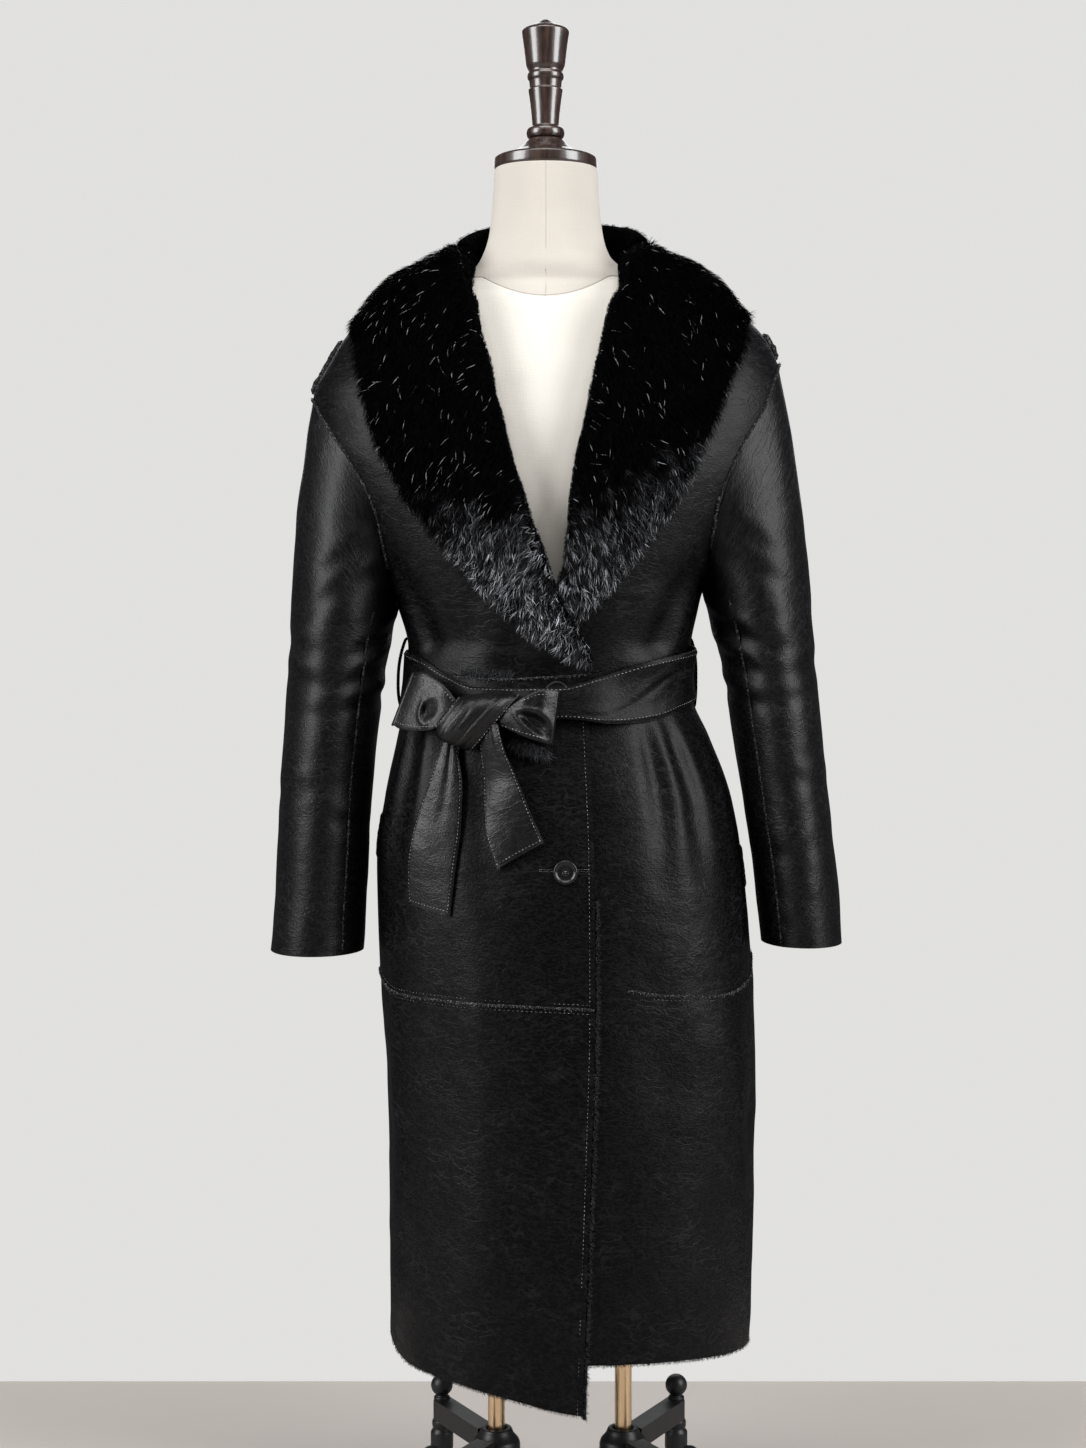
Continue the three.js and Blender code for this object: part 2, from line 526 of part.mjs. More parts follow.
// How far the collar's underside lies off the bodice: more where the shoulder turns sharply.
const underside = (angle) => 2.5 + 6.4 * Math.exp(-(((Math.abs(angle) - 99) / 33) ** 2));
function collar(side) {
  const edge = side === 'right' ? overEdge : underEdge;
  const onEdge = (z) => angleAt(edge(z), z);
  const rows = collarRows[side].map((row, i) => ({
    at: i,
    neckAngle: row.neckAngle ?? onEdge(row.neckZ),
    fallAngle: row.fallAngle ?? angleAt(row.fallX, row.fallZ),
    ...row,
  }));
  const along = table(rows, 'at', ['neckAngle', 'neckZ', 'fallAngle', 'fallZ', 'stand', 'roll']);
  const lift = side === 'right' ? overLift : () => 0;
  const last = rows.length - 1;
  const sections = steps(collarSteps).map((t) => {
    const s = t * last;
    const neckZ = along.neckZ(s);
    const neck = { angle: s < firstFrontRow ? along.neckAngle(s) : onEdge(neckZ), z: neckZ };
    const fall = { angle: along.fallAngle(s), z: along.fallZ(s) };
    const length = bodyPoint(neck.angle, neck.z).distanceTo(bodyPoint(fall.angle, fall.z));
    const point = (share, height) => {
      const angle = mix(neck.angle, fall.angle, share);
      const z = mix(neck.z, fall.z, share);
      const x = sectionPoint(body, angle, z).x;
      // Under the right front the left collar's pile is pressed flat.
      const free = side === 'right' || Math.abs(angle) > 90 ? 1 : ramp((x - overEdge(z) - 11) / 22);
      const pressed = height > 0 ? height * mix(0.3, 1, free) : height;
      return bodyPoint(angle, z, lift(angle, z) + pressed);
    };
    const ended = mix(1, 0.7, ramp((s - last + 1.5) / 1.5));
    const shown = collarSection.map((row) => {
      const share = row.fall ?? -(collarGap + row.stand * along.stand(s)) / length;
      const height = row.inside ? -wall * row.inside
        : (row.roll ? row.roll * along.roll(s) : row.pile * furPile * ended);
      return point(share, height);
    });
    const start = -collarGap / length;
    const clear = (share) => underside(mix(neck.angle, fall.angle, share));
    const hidden = [
      point(start, -wall * 0.4),
      ...collarBack.map((share) => point(share === 0 ? start : share, clear(share))),
    ];
    return [...shown, ...hidden.reverse()];
  });
  // Half of the gap of the centre back seam.
  sections[0].forEach((point) => { point.x += armholes[side].sign * seam / 2; });
  place(`collar_${side}`, loft(sections), fur);
}
// A solid through closed sections with the same number of points, with flat ends.
function loft(sections) {
  const count = sections[0].length;
  const points = sections.flat();
  const faces = [];
  for (let s = 0; s < sections.length - 1; s += 1) {
    for (let i = 0; i < count; i += 1) {
      const [a, b] = [s * count + i, s * count + ((i + 1) % count)];
      faces.push([a, b, b + count], [a, b + count, a + count]);
    }
  }
  [[0, true], [sections.length - 1, false]].forEach(([s, first]) => {
    for (const [a, b, c] of capTriangles(sections[s])) {
      const base = s * count;
      faces.push(first ? [base + a, base + c, base + b] : [base + a, base + b, base + c]);
    }
  });
  return indexed(points, faces);
}
// Triangles of a flat or nearly flat outline, wound the way its points run.
function capTriangles(outline) {
  const normal = new THREE.Vector3();
  outline.forEach((point, i) => {
    normal.add(point.clone().cross(outline[(i + 1) % outline.length]));
  });
  normal.normalize();
  const across = outline[1].clone().sub(outline[0]);
  across.addScaledVector(normal, -across.dot(normal)).normalize();
  const up = normal.clone().cross(across);
  const flat = outline.map((point) => new THREE.Vector2(point.dot(across), point.dot(up)));
  return THREE.ShapeUtils.triangulateShape(flat, []);
}

// ---------- raw edges that stand proud of the seams ----------
const edgeWidth = 3.4;
const edgeHeight = 2.4;
const edgeLift = 0.9; // its foot's height over the cloth
// Its points are { at, out } along the seam, out being the way the edge stands up.
function ridge(name, { points, width = edgeWidth, height = edgeHeight, lift = edgeLift }) {
  const count = points.length;
  const sections = points.map(({ at, out }, i) => {
    const next = points[Math.min(i + 1, count - 1)].at;
    const before = points[Math.max(i - 1, 0)].at;
    const across = next.clone().sub(before).cross(out).setLength(width / 2);
    const base = at.clone().addScaledVector(out, lift);
    const top = at.clone().addScaledVector(out, lift + height);
    return {
      upper: [top.clone().sub(across), top.clone().add(across)],
      lower: [base.clone().sub(across), base.clone().add(across)],
    };
  });
  place(name, wallBetween(sections.map((s) => s.upper), sections.map((s) => s.lower)), rawEdge);
}
function shoulderEdge(side) {
  const { sign, high } = armholes[side];
  const top = { right: 1190, left: 1200 }[side];
  ridge(`shoulder_edge_${side}`, {
    height: 5,
    lift: 0.7,
    points: steps(5).map((t) => {
      const z = mix(top, high + 6, t);
      return { at: bodyPoint(sign * 90, z), out: bodyNormal(sign * 90, z) };
    }),
  });
}
// Up the back, over the shoulder tip and down the front, on the bodice's side of the seam.
function armholeEdge(side) {
  const { heights, angle, facing, sign } = armholes[side];
  const lowest = 3; // the first step that isn't hidden under the arm
  const places = [
    ...heights.slice(lowest, -1).map((z) => [z, true]),
    ...heights.slice(lowest).reverse().map((z) => [z, false]),
  ];
  const loop = places.map(([z, onBack]) => ({
    at: bodyPoint(angle(z, onBack), z), out: facing(z, onBack),
  }));
  ridge(`armhole_edge_${side}`, {
    lift: 1.4,
    points: loop.map(({ at, out }, i) => {
      const next = loop[Math.min(i + 1, loop.length - 1)].at;
      const before = loop[Math.max(i - 1, 0)].at;
      const inward = next.clone().sub(before).cross(out).setLength(sign * (edgeWidth / 2 + 1.8));
      return { at: at.clone().add(inward), out };
    }),
  });
}
function seamEdge(name, { from, to, count, level, lift = () => 0 }) {
  ridge(name, {
    height: 1.8,
    lift: 0.75,
    points: steps(count).map((t) => {
      const angle = mix(from, to, t);
      const around = angle > 180 ? angle - 360 : angle;
      const z = level(around);
      return { at: bodyPoint(angle, z, lift(angle, z)), out: bodyNormal(angle, z) };
    }),
  });
}
const fringeReach = 4; // how far the fur shows past the right front's edge
const fringeGap = 0.7;
const fringeTop = 664;
function frontFringe() {
  const grid = (depth) => steps(12).map((t) => {
    const z = mix(levels.hem(12) + 4, fringeTop, t);
    return [fringeGap, fringeReach].map((past) => {
      const angle = angleAt(overEdge(z) + past, z);
      return bodyPoint(angle, z, overLift(angleAt(overEdge(z), z), z) - 0.6 - depth);
    });
  });
  place('front_fringe', wallBetween(grid(0), grid(2.4)), fur);
}
const pockets = {
  right: { top: 738, bottom: 694, sign: -1 }, left: { top: 706, bottom: 664, sign: 1 },
};
function pocketEdge(side) {
  const { top, bottom, sign } = pockets[side];
  ridge(`pocket_edge_${side}`, {
    height: 2.4,
    width: 2.4,
    lift: -0.1,
    points: steps(4).map((t) => {
      const z = mix(bottom, top, t);
      return { at: bodyPoint(sign * 82, z), out: bodyNormal(sign * 82, z) };
    }),
  });
}

// ---------- belt ----------
const beltEdges = table([
  { angle: -180, upper: 905, lower: 851 },
  { angle: -90, upper: 899, lower: 848 },
  { angle: -60, upper: 891, lower: 843 },
  { angle: -40, upper: 874, lower: 834 },
  { angle: -26, upper: 863, lower: 830 },
  { angle: 3, upper: 861, lower: 831 },
  { angle: 17, upper: 873, lower: 827 },
  { angle: 38, upper: 889, lower: 831 },
  { angle: 62, upper: 898, lower: 842 },
  { angle: 90, upper: 904, lower: 849 },
  { angle: 180, upper: 905, lower: 851 },
], 'angle', ['upper', 'lower']);
const buttonSize = { radius: 11.3, thickness: 4.6, rim: 1.2 };
const buttons = { upper: { x: 6, z: 857, seat: 0.7 }, lower: { x: 14, z: 690, seat: -0.2 } };
const beltClear = 1.3;
// The belt's inner face: clear of the laps, and of the upper button under it.
function beltLift(degrees, z) {
  const toButton = Math.abs(sectionPoint(body, degrees, z).x - buttons.upper.x);
  const overButton = (buttonSize.thickness + 1.2) * ramp((44 - toButton) / 26);
  return beltClear + coatLift(degrees, z) + overButton + foldDepth(degrees, z) * 0.7;
}
function beltBand() {
  const grid = (raise) => Array.from({ length: 45 }, (_, i) => {
    const angle = -180 + i * 8;
    return steps(3).map((v) => {
      const z = mix(beltEdges.lower(angle), beltEdges.upper(angle), v);
      return bodyPoint(angle, z, beltLift(angle, z) + raise);
    });
  });
  place('belt_band', wallBetween(grid(beltThickness), grid(0), { ring: true }), leather);
}
function carrier(side) {
  const { sign } = armholes[side];
  const rows = [
    { z: 914, lift: 1 }, { z: 910, lift: 4 }, { z: 904, lift: 6.9 }, { z: 878, lift: 7.2 },
    { z: 850, lift: 6.9 }, { z: 843, lift: 4 }, { z: 838, lift: 1 },
  ];
  const grid = (raise) => rows.map(({ z, lift }) => [-1, 1].map((edge) => {
    const angle = sign * 90 + edge * 2;
    return bodyPoint(angle, z, lift + raise + foldDepth(angle, z));
  }));
  place(`belt_carrier_${side}`, wallBetween(grid(1.6), grid(0)), leather);
}
// Each bow loop is the belt laid out from the knot and folded back on itself: places of its
// front layer, with its upper and lower edges. The back layer lies behind it.
const bows = {
  right: [
    { x: -107, y: -121, top: 862, bottom: 822 }, { x: -117, y: -119, top: 873, bottom: 818 },
    { x: -130, y: -110, top: 877, bottom: 819 }, { x: -142, y: -98, top: 868, bottom: 823 },
    { x: -148, y: -86, top: 856, bottom: 828 },
  ],
  left: [
    { x: -46, y: -137, top: 843, bottom: 826 }, { x: -26, y: -147, top: 856, bottom: 820 },
    { x: -12, y: -149, top: 862, bottom: 815 }, { x: 0, y: -147, top: 863, bottom: 811 },
    { x: 6, y: -142, top: 860, bottom: 812 },
  ],
};
const bowDepth = 13; // from the front of the front layer to the back of the back one
const strapThickness = 3;
function bowLoop(side) {
  const front = bows[side];
  const tip = front[front.length - 1];
  const inner = front[front.length - 2];
  const back = front.slice(0, -1).reverse().map((row) => ({ ...row, y: row.y + bowDepth }));
  const path = [...front, { ...tip, y: tip.y + bowDepth * 0.6 }, ...back];
  const hollow = [
    ...front.slice(0, -1).map((row) => ({ ...row, y: row.y + strapThickness })),
    { ...inner, x: mix(inner.x, tip.x, 0.5), y: tip.y + strapThickness },
    { ...inner, x: mix(inner.x, tip.x, 0.5), y: tip.y + bowDepth * 0.5 },
    ...back.map((row) => ({ ...row, y: row.y - strapThickness })),
  ];
  const grid = (rows) => rows.map(({ x, y, top, bottom }) => [
    new THREE.Vector3(x, y, bottom), new THREE.Vector3(x, y, (top + bottom) / 2), new THREE.Vector3(x, y, top),
  ]);
  place(`belt_bow_${side}`, wallBetween(grid(path), grid(hollow)), leather);
}
// The tails hang from the knot: the places of their two edges.
const tails = {
  right: [
    { inX: -84, inZ: 801, outX: -94, outZ: 803 }, { inX: -80, inZ: 769, outX: -107, outZ: 772 },
    { inX: -83, inZ: 725, outX: -119, outZ: 742 }, { inX: -86, inZ: 706, outX: -126, outZ: 716 },
    { inX: -89, inZ: 685, outX: -131, outZ: 690 }, { inX: -94, inZ: 646, outX: -133, outZ: 656 },
  ],
  left: [
    { inX: -42, inZ: 801, outX: -60, outZ: 799 }, { inX: -31, inZ: 779, outX: -61, outZ: 775 },
    { inX: -23, inZ: 759, outX: -61, outZ: 750 }, { inX: -16, inZ: 741, outX: -60, outZ: 728 },
    { inX: -6, inZ: 717, outX: -49, outZ: 692 },
  ],
};
function tail(side) {
  const rows = tails[side].map((row, at) => ({ at, ...row }));
  const along = table(rows, 'at', ['inX', 'inZ', 'outX', 'outZ']);
  place(`belt_tail_${side}`, laidStrip({
    across: 3,
    along: 8,
    at: (u, v) => {
      const s = v * (rows.length - 1);
      const z = mix(along.outZ(s), along.inZ(s), u);
      return { angle: angleAt(mix(along.outX(s), along.inX(s), u), z), z };
    },
    lift: (angle, z, u, v) => coatLift(angle, z) + foldDepth(angle, z) + mix(7, 1.2, ramp(v * 2.5)),
    thickness: beltThickness,
  }), leather);
}
const knot = { x: -69, z: 831, width: 62, height: 50, depth: 27, lean: 14 };
function beltKnot() {
  const angle = angleAt(knot.x, knot.z);
  const out = bodyNormal(angle, knot.z);
  const geometry = new THREE.SphereGeometry(0.5, 14, 9);
  const corners = geometry.getAttribute('position');
  const flat = 0.78; // squares the ball off a little
  for (let i = 0; i < corners.count; i += 1) {
    const p = new THREE.Vector3().fromBufferAttribute(corners, i).multiplyScalar(2);
    p.set(power(p.x, flat), power(p.y, flat), power(p.z, flat)).multiplyScalar(0.5);
    corners.setXYZ(i, p.x, p.y, p.z);
  }
  geometry.scale(knot.width, knot.depth, knot.height);
  geometry.rotateY(radians(knot.lean));
  geometry.rotateZ(Math.atan2(out.x, -out.y));
  const seat = beltLift(angle, knot.z) + beltThickness + knot.depth / 2 + 0.6;
  const mesh = place('belt_knot', geometry, leather);
  mesh.position.copy(sectionPoint(body, angle, knot.z).addScaledVector(out, seat));
}

// ---------- buttons ----------
function button(name, { x, z, seat }) {
  const { radius, thickness, rim } = buttonSize;
  const profile = [
    [0, 0], [radius - 1, 0], [radius, 1.2], [radius, thickness - 1], [radius - 1, thickness],
    [radius - 2.4, thickness], [radius - 3.2, thickness - rim], [0, thickness - rim],
  ].map(([r, y]) => new THREE.Vector2(r, y));
  const angle = angleAt(x, z);
  const out = bodyNormal(angle, z);
  const mesh = place(name, new THREE.LatheGeometry(profile, 16), horn);
  mesh.quaternion.setFromUnitVectors(new THREE.Vector3(0, 1, 0), out);
  mesh.position.copy(bodyPoint(angle, z, overLift(angle, z) + seat));
}

// ---------- dress form ----------
// Its shoulders carry the coat: there it follows the coat's own section, this much lower.
const shoulderDrop = wall + 1.05;
const onShoulder = (z, inset) => ({
  z,
  right: body.right(z + shoulderDrop),
  left: body.left(z + shoulderDrop),
  front: body.front(z) - inset,
  back: body.back(z) - inset,
});
const formBottom = 640;
const formTop = 1374;
const formSections = [
  { z: formBottom, right: 140, left: 158, front: 106, back: 104 },
  { z: 648, right: 150, left: 168, front: 116, back: 114 },
  { z: 700, right: 154, left: 170, front: 120, back: 116 },
  { z: 790, right: 136, left: 142, front: 102, back: 94 },
  { z: 874, right: 119, left: 117, front: 84, back: 76 },
  { z: 950, right: 130, left: 128, front: 98, back: 86 },
  { z: 1040, right: 142, left: 140, front: 112, back: 95 },
  { z: 1110, right: 152, left: 152, front: 105, back: 97 },
  { z: 1160, right: 166, left: 168, front: 92, back: 94 },
  { z: 1195, right: 178, left: 182, front: 80, back: 88 },
  { z: 1216, right: 180, left: 188, front: 73, back: 82 },
  onShoulder(1240, 11),
  onShoulder(1252, 11),
  onShoulder(1262, 10),
  { z: 1276, right: 74, left: 74, front: 51, back: 58 },
  { z: 1290, right: 66, left: 58, front: 50, back: 56 },
  { z: 1308, right: 61, left: 53, front: 50, back: 55 },
  { z: 1330, right: 58, left: 50, front: 50, back: 54 },
  { z: formTop, right: 55, left: 47, front: 51, back: 51 },
];
const neckAxis = -4.5; // the neck stands a little to the wearer's right of the hem's middle
const formSides = 24;
function dressForm() {
  const form = table(formSections, 'z', ['right', 'left', 'front', 'back']);
  const heights = [
    formBottom, 648, 700, 745, 790, 832, 874, 912, 950, 1000, 1050, 1110, 1160, 1195, 1216, 1230,
    1240, 1252, 1262, 1269, 1276, 1290, 1308, 1330, formTop,
  ];
  const sections = heights.map((z) => Array.from(
    { length: formSides }, (_, k) => sectionPoint(form, 360 * k / formSides - 180, z),
  ));
  place('dress_form', loft(sections), linen);
}
function turned(name, profile, x, y, finish, sides = 20) {
  const points = profile.map(([r, z]) => new THREE.Vector2(r, z));
  const geometry = new THREE.LatheGeometry(points, sides);
  geometry.rotateX(Math.PI / 2);
  const mesh = place(name, geometry, finish);
  mesh.position.set(x, y, 0);
  return mesh;
}
function neckCap() {
  const base = formTop + seam;
  turned('neck_cap', [
    [0, base], [50, base], [51.5, base + 2], [51.5, base + 11], [50, base + 13], [42, base + 15],
    [30, base + 19], [21, base + 26], [17, base + 31], [0, base + 31],
  ], neckAxis, 0, darkWood);
  const foot = base + 31 + seam;
  turned('finial', [
    [0, foot], [17, foot], [19, foot + 3], [19, foot + 8], [16, foot + 11.5], [13.5, foot + 13],
    [14.5, foot + 26], [17.5, foot + 46], [16.4, foot + 48], [16.6, foot + 57], [18.6, foot + 59],
    [17.6, foot + 68], [19.8, foot + 72], [22, foot + 92], [24, foot + 104], [23, foot + 107],
    [11, foot + 112], [0, foot + 118],
  ], neckAxis, 0, darkWood);
}

// ---------- stand ----------
const standAxis = 10; // middle of the hips, over which the two poles stand
const poleSpread = 64;
const poleRadius = 8.5;
const poleFoot = 82.3; // the poles stand on the cross bar
const hub = { low: 54, high: 114, radius: 24 };
const foot = { spreadX: 124, spreadY: 110, radius: 8.5, ballZ: 121.5, ballRadius: 11.5 };
const beam = { width: 20, low: 86, high: 107 };
const crossBar = { width: 20, low: 60, high: 82 };

const wasm = await Module();
wasm.setup();
function solid(geometry) {
  const welded = geometry.index ? geometry.toNonIndexed() : geometry;
  const corners = new Map();
  const points = [];
  const faces = [];
  const position = welded.getAttribute('position');
  for (let i = 0; i < position.count; i += 1) {
    const p = [position.getX(i), position.getY(i), position.getZ(i)];
    const key = p.map((value) => Math.round(value * 1000)).join();
    if (!corners.has(key)) {
      corners.set(key, points.length / 3);
      points.push(...p);
    }
    faces.push(corners.get(key));
  }
  return new wasm.Manifold(new wasm.Mesh({
    numProp: 3, vertProperties: new Float32Array(points), triVerts: new Uint32Array(faces),
  }));
}
function fromSolid(made) {
  const mesh = made.getMesh();
  const geometry = new THREE.BufferGeometry();
  geometry.setAttribute('position', new THREE.BufferAttribute(new Float32Array(mesh.vertProperties), 3));
  geometry.setIndex(new THREE.BufferAttribute(new Uint32Array(mesh.triVerts), 1));
  const flat = geometry.toNonIndexed();
  flat.computeVertexNormals();
  return flat;
}
// A level bar between two upright round pieces, hollowed where it meets each.
function barBetween(name, start, end, bar) {
  const run = new THREE.Vector2(end.x - start.x, end.y - start.y);
  const middle = { x: (start.x + end.x) / 2, y: (start.y + end.y) / 2 };
  const box = new THREE.BoxGeometry(run.length(), bar.width, bar.high - bar.low);
  box.rotateZ(run.angle());
  box.translate(middle.x, middle.y, (bar.low + bar.high) / 2);
  const cut = [start, end].reduce((rest, post) => {
    const tool = new THREE.CylinderGeometry(post.radius + seam, post.radius + seam, 80, 32);
    tool.rotateX(Math.PI / 2);
    tool.translate(post.x, post.y, (bar.low + bar.high) / 2);
    return rest.subtract(solid(tool));
  }, solid(box));
  place(name, fromSolid(cut), blackMetal);
}
function stand() {
  const sides = { right: -1, left: 1 };
  for (const [side, sign] of Object.entries(sides)) {
    const pole = { x: standAxis + sign * poleSpread, y: 0, radius: hub.radius };
    const length = formBottom - seam - poleFoot;
    const rod = new THREE.CylinderGeometry(poleRadius, poleRadius, length, 18);
    rod.rotateX(Math.PI / 2);
    place(`pole_${side}`, rod, brass).position.set(pole.x, 0, poleFoot + length / 2);
    const bore = poleRadius + seam;
    turned(`pole_socket_${side}`, [
      [bore, crossBar.high + seam], [hub.radius, crossBar.high + seam], [hub.radius, 98], [19, 106],
      [16.5, 111], [15, hub.high], [12, hub.high], [bore, hub.high - 2], [bore, crossBar.high + seam],
    ], pole.x, 0, blackMetal, 16);
    for (const [end, way] of [['front', -1], ['back', 1]]) {
      const post = { x: standAxis + sign * foot.spreadX, y: way * foot.spreadY, radius: foot.radius };
      barBetween(`arm_${end}_${side}`, pole, post, beam);
      turned(`foot_${end}_${side}`, footProfile(), post.x, post.y, blackMetal, 12);
    }
  }
  const bar = new THREE.BoxGeometry(
    2 * (poleSpread + hub.radius), 2 * hub.radius, crossBar.high - crossBar.low,
  );
  place('cross_bar', bar, blackMetal).position.set(standAxis, 0, (crossBar.high + crossBar.low) / 2);
}
// A turned foot under a collar, the post that holds the arm, and its ball.
function footProfile() {
  const { radius, ballZ, ballRadius } = foot;
  const ball = [-55, -28, 0, 28, 56].map((lift) => {
    const turn = radians(lift);
    return [ballRadius * Math.cos(turn), ballZ + ballRadius * Math.sin(turn)];
  });
  return [
    [0, 0], [13, 0], [14.5, 2], [14.5, 7], [9, 14], [7.5, 26], [9.5, 44], [12, 58], [12, 72],
    [9.4, 76], [10.4, 79], [10.4, 84], [radius, 85.5], [radius, 109.5], [6.4, 110.6],
    ...ball, [0, ballZ + ballRadius],
  ];
}

// ---------- the whole ----------
frontBodice('right');
frontBodice('left');
backBodice();
['right', 'left', 'back'].forEach(lowerPanels);
['right', 'left'].forEach((side) => {
  sleeve(side);
  collar(side);
  shoulderEdge(side);
  armholeEdge(side);
  pocketEdge(side);
  carrier(side);
  bowLoop(side);
  tail(side);
});
seamEdge('waist_edge', { from: -34, to: 11, count: 12, level: levels.waist, lift: overLift });
seamEdge('hip_edge_right', { from: -88, to: 12, count: 20, level: levels.hip, lift: overLift });
seamEdge('hip_edge_left', { from: 16, to: 88, count: 16, level: underLevels.hip });
seamEdge('hip_edge_back', { from: 92, to: 268, count: 28, level: (a) => sideLevels('back', a).hip(a) });
frontFringe();
beltBand();
beltKnot();
button('button_upper', buttons.upper);
button('button_lower', buttons.lower);
dressForm();
neckCap();
stand();

// The origin is on the floor under the middle of the whole.
const extent = new THREE.Box3().setFromObject(part);
const middle = extent.getCenter(new THREE.Vector3());
part.children.forEach((mesh) => {
  mesh.position.x -= middle.x;
  mesh.position.y -= middle.y;
  mesh.position.z -= extent.min.z;
});

export default part;
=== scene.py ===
import math

import bpy
import numpy as np
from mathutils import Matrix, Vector


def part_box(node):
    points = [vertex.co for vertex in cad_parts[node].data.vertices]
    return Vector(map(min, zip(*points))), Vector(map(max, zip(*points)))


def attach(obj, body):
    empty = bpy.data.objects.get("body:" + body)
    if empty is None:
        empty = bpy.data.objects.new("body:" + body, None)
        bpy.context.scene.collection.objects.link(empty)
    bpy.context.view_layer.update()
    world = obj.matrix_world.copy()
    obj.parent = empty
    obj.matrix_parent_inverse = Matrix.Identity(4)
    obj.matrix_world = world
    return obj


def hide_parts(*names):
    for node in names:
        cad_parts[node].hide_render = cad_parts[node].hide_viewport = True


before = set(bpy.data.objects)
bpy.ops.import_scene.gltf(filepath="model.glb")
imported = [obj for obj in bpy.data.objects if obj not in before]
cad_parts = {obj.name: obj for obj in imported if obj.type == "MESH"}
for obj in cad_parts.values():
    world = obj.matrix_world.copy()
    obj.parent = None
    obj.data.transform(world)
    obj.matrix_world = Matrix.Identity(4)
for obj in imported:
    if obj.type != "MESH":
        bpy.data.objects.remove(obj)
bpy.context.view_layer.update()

# Sizes are in millimetres, in the garment's own frame: x from its middle towards the wearer's
# left, y towards the back, z up. Angles run round the body from the centre front, -90 at the
# right side seam and 90 at the left one.
garment = {"poleX": -54, "roundness": 2.25, "cloth": 3, "seam": 0.3, "neckline": 1275, "waist": 875}
poleLow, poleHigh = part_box("pole_right")
frameShift = np.array([
    (poleLow[0] + poleHigh[0]) / 2 - garment["poleX"] / 1000, (poleLow[1] + poleHigh[1]) / 2, 0,
])


def toFrame(points):
    return np.asarray(points, float) / 1000 + frameShift


# camera: level with the hips, tilted a little down, no depth of field
cameraSet = {"x": -7, "y": -2317, "z": 904, "pitch": 1.953, "lens": 57.6, "sensor": 36}
cameraData = bpy.data.cameras.new("camera")
cameraData.lens = cameraSet["lens"]
cameraData.sensor_width = cameraSet["sensor"]
camera = bpy.data.objects.new("camera", cameraData)
camera.location = toFrame([cameraSet["x"], cameraSet["y"], cameraSet["z"]])
camera.rotation_euler = (math.radians(90 - cameraSet["pitch"]), 0, 0)
bpy.context.collection.objects.link(camera)
bpy.context.scene.camera = camera
bpy.context.scene.view_settings.view_transform = "Standard"
print("camera placed")


def clamp01(t):
    return np.clip(t, 0, 1)


def ramp(t):
    t = clamp01(t)
    return t * t * (3 - 2 * t)


def mix(a, b, t):
    return a + (b - a) * t


def hill(distance, width):
    return np.exp(-(distance / width) ** 2)


def window(value, low, rise, high, fall):  # eases in past low and out again before high
    return ramp((value - low) / rise) * ramp((high - value) / fall)


def nearEnds(v, part):  # 1 at both ends of 0 to 1, easing to 0 over part of it
    return ramp((part - v) / part) + ramp((v - (1 - part)) / part)


def signedAngle(degrees):  # from -180 to 180
    return np.where(degrees > 180, degrees - 360, degrees)


def unit(vectors):
    return vectors / np.maximum(np.linalg.norm(vectors, axis=-1, keepdims=True), 1e-9)


def smoothColumn(at, value):  # a smooth curve without overshoot between its rows
    at, value = np.asarray(at, float), np.asarray(value, float)
    slope = np.diff(value) / np.diff(at)
    tangent = np.zeros(len(at))
    tangent[0], tangent[-1] = slope[0], slope[-1]
    before, after = slope[:-1], slope[1:]
    same = before * after > 0
    total = np.where(same, before + after, 1)
    tangent[1:-1] = np.where(same, 2 * before * after / total, 0)

    def read(x):
        x = np.clip(x, at[0], at[-1])
        i = np.clip(np.searchsorted(at, x, side="right") - 1, 0, len(at) - 2)
        width = at[i + 1] - at[i]
        t = (x - at[i]) / width
        return ((2 * t**3 - 3 * t**2 + 1) * value[i] + (t**3 - 2 * t**2 + t) * width * tangent[i]
                + (3 * t**2 - 2 * t**3) * value[i + 1] + (t**3 - t**2) * width * tangent[i + 1])
    return read


class Table:  # rows of numbers under named columns, read along the first one
    def __init__(self, names, rows):
        rows = np.array(rows, float)
        rows = rows[np.argsort(rows[:, 0])]
        for i, name in enumerate(names.split()[1:], 1):
            setattr(self, name, smoothColumn(rows[:, 0], rows[:, i]))


body = Table("z right left front back", [
    (160, 158, 199, 150, 146), (220, 160, 201, 150, 145), (400, 162, 205, 147, 143),
    (480, 164, 206, 146, 142), (580, 170, 202, 143, 139), (690, 173, 192, 139, 133),
    (753, 165, 181, 131, 122), (814, 152, 158, 118, 108), (851, 145, 142, 110, 98),
    (875, 142, 139, 107, 95), (901, 141, 140, 108, 96), (937, 150, 147, 116, 102),
    (960, 160, 153, 120, 105), (1000, 180, 176, 125, 108), (1050, 207, 205, 126, 110),
    (1100, 230, 228, 121, 111), (1149, 235, 236, 110, 108), (1183, 219, 226, 99, 103),
    (1216, 197, 207, 87, 95), (1243, 150, 162, 74, 85), (1262, 110, 119, 63, 76),
    (1283, 78, 82, 53, 66), (1310, 80, 82, 53, 68), (1345, 87, 88, 56, 75),
])
overEdge = Table("z x", [
    (160, 30), (230, 32), (400, 38), (560, 42), (700, 41), (825, 36), (880, 34), (914, 22),
    (974, 1), (1027, -17), (1081, -35), (1150, -52), (1200, -65), (1250, -75), (1275, -77),
]).x
underEdge = Table("z x", [
    (160, -38), (700, -38), (880, -34), (930, -13), (978, 3), (1000, 9), (1051, 18),
    (1097, 28), (1143, 38), (1193, 49), (1242, 64), (1275, 76),
]).x
levels = Table("angle waist hip hem", [
    (-180, 876, 575, 218), (-90, 876, 581, 216), (-60, 875, 566, 205), (-35, 873, 565, 200),
    (-15, 871, 564, 190), (0, 873, 562, 178), (12, 876, 558, 170),
])
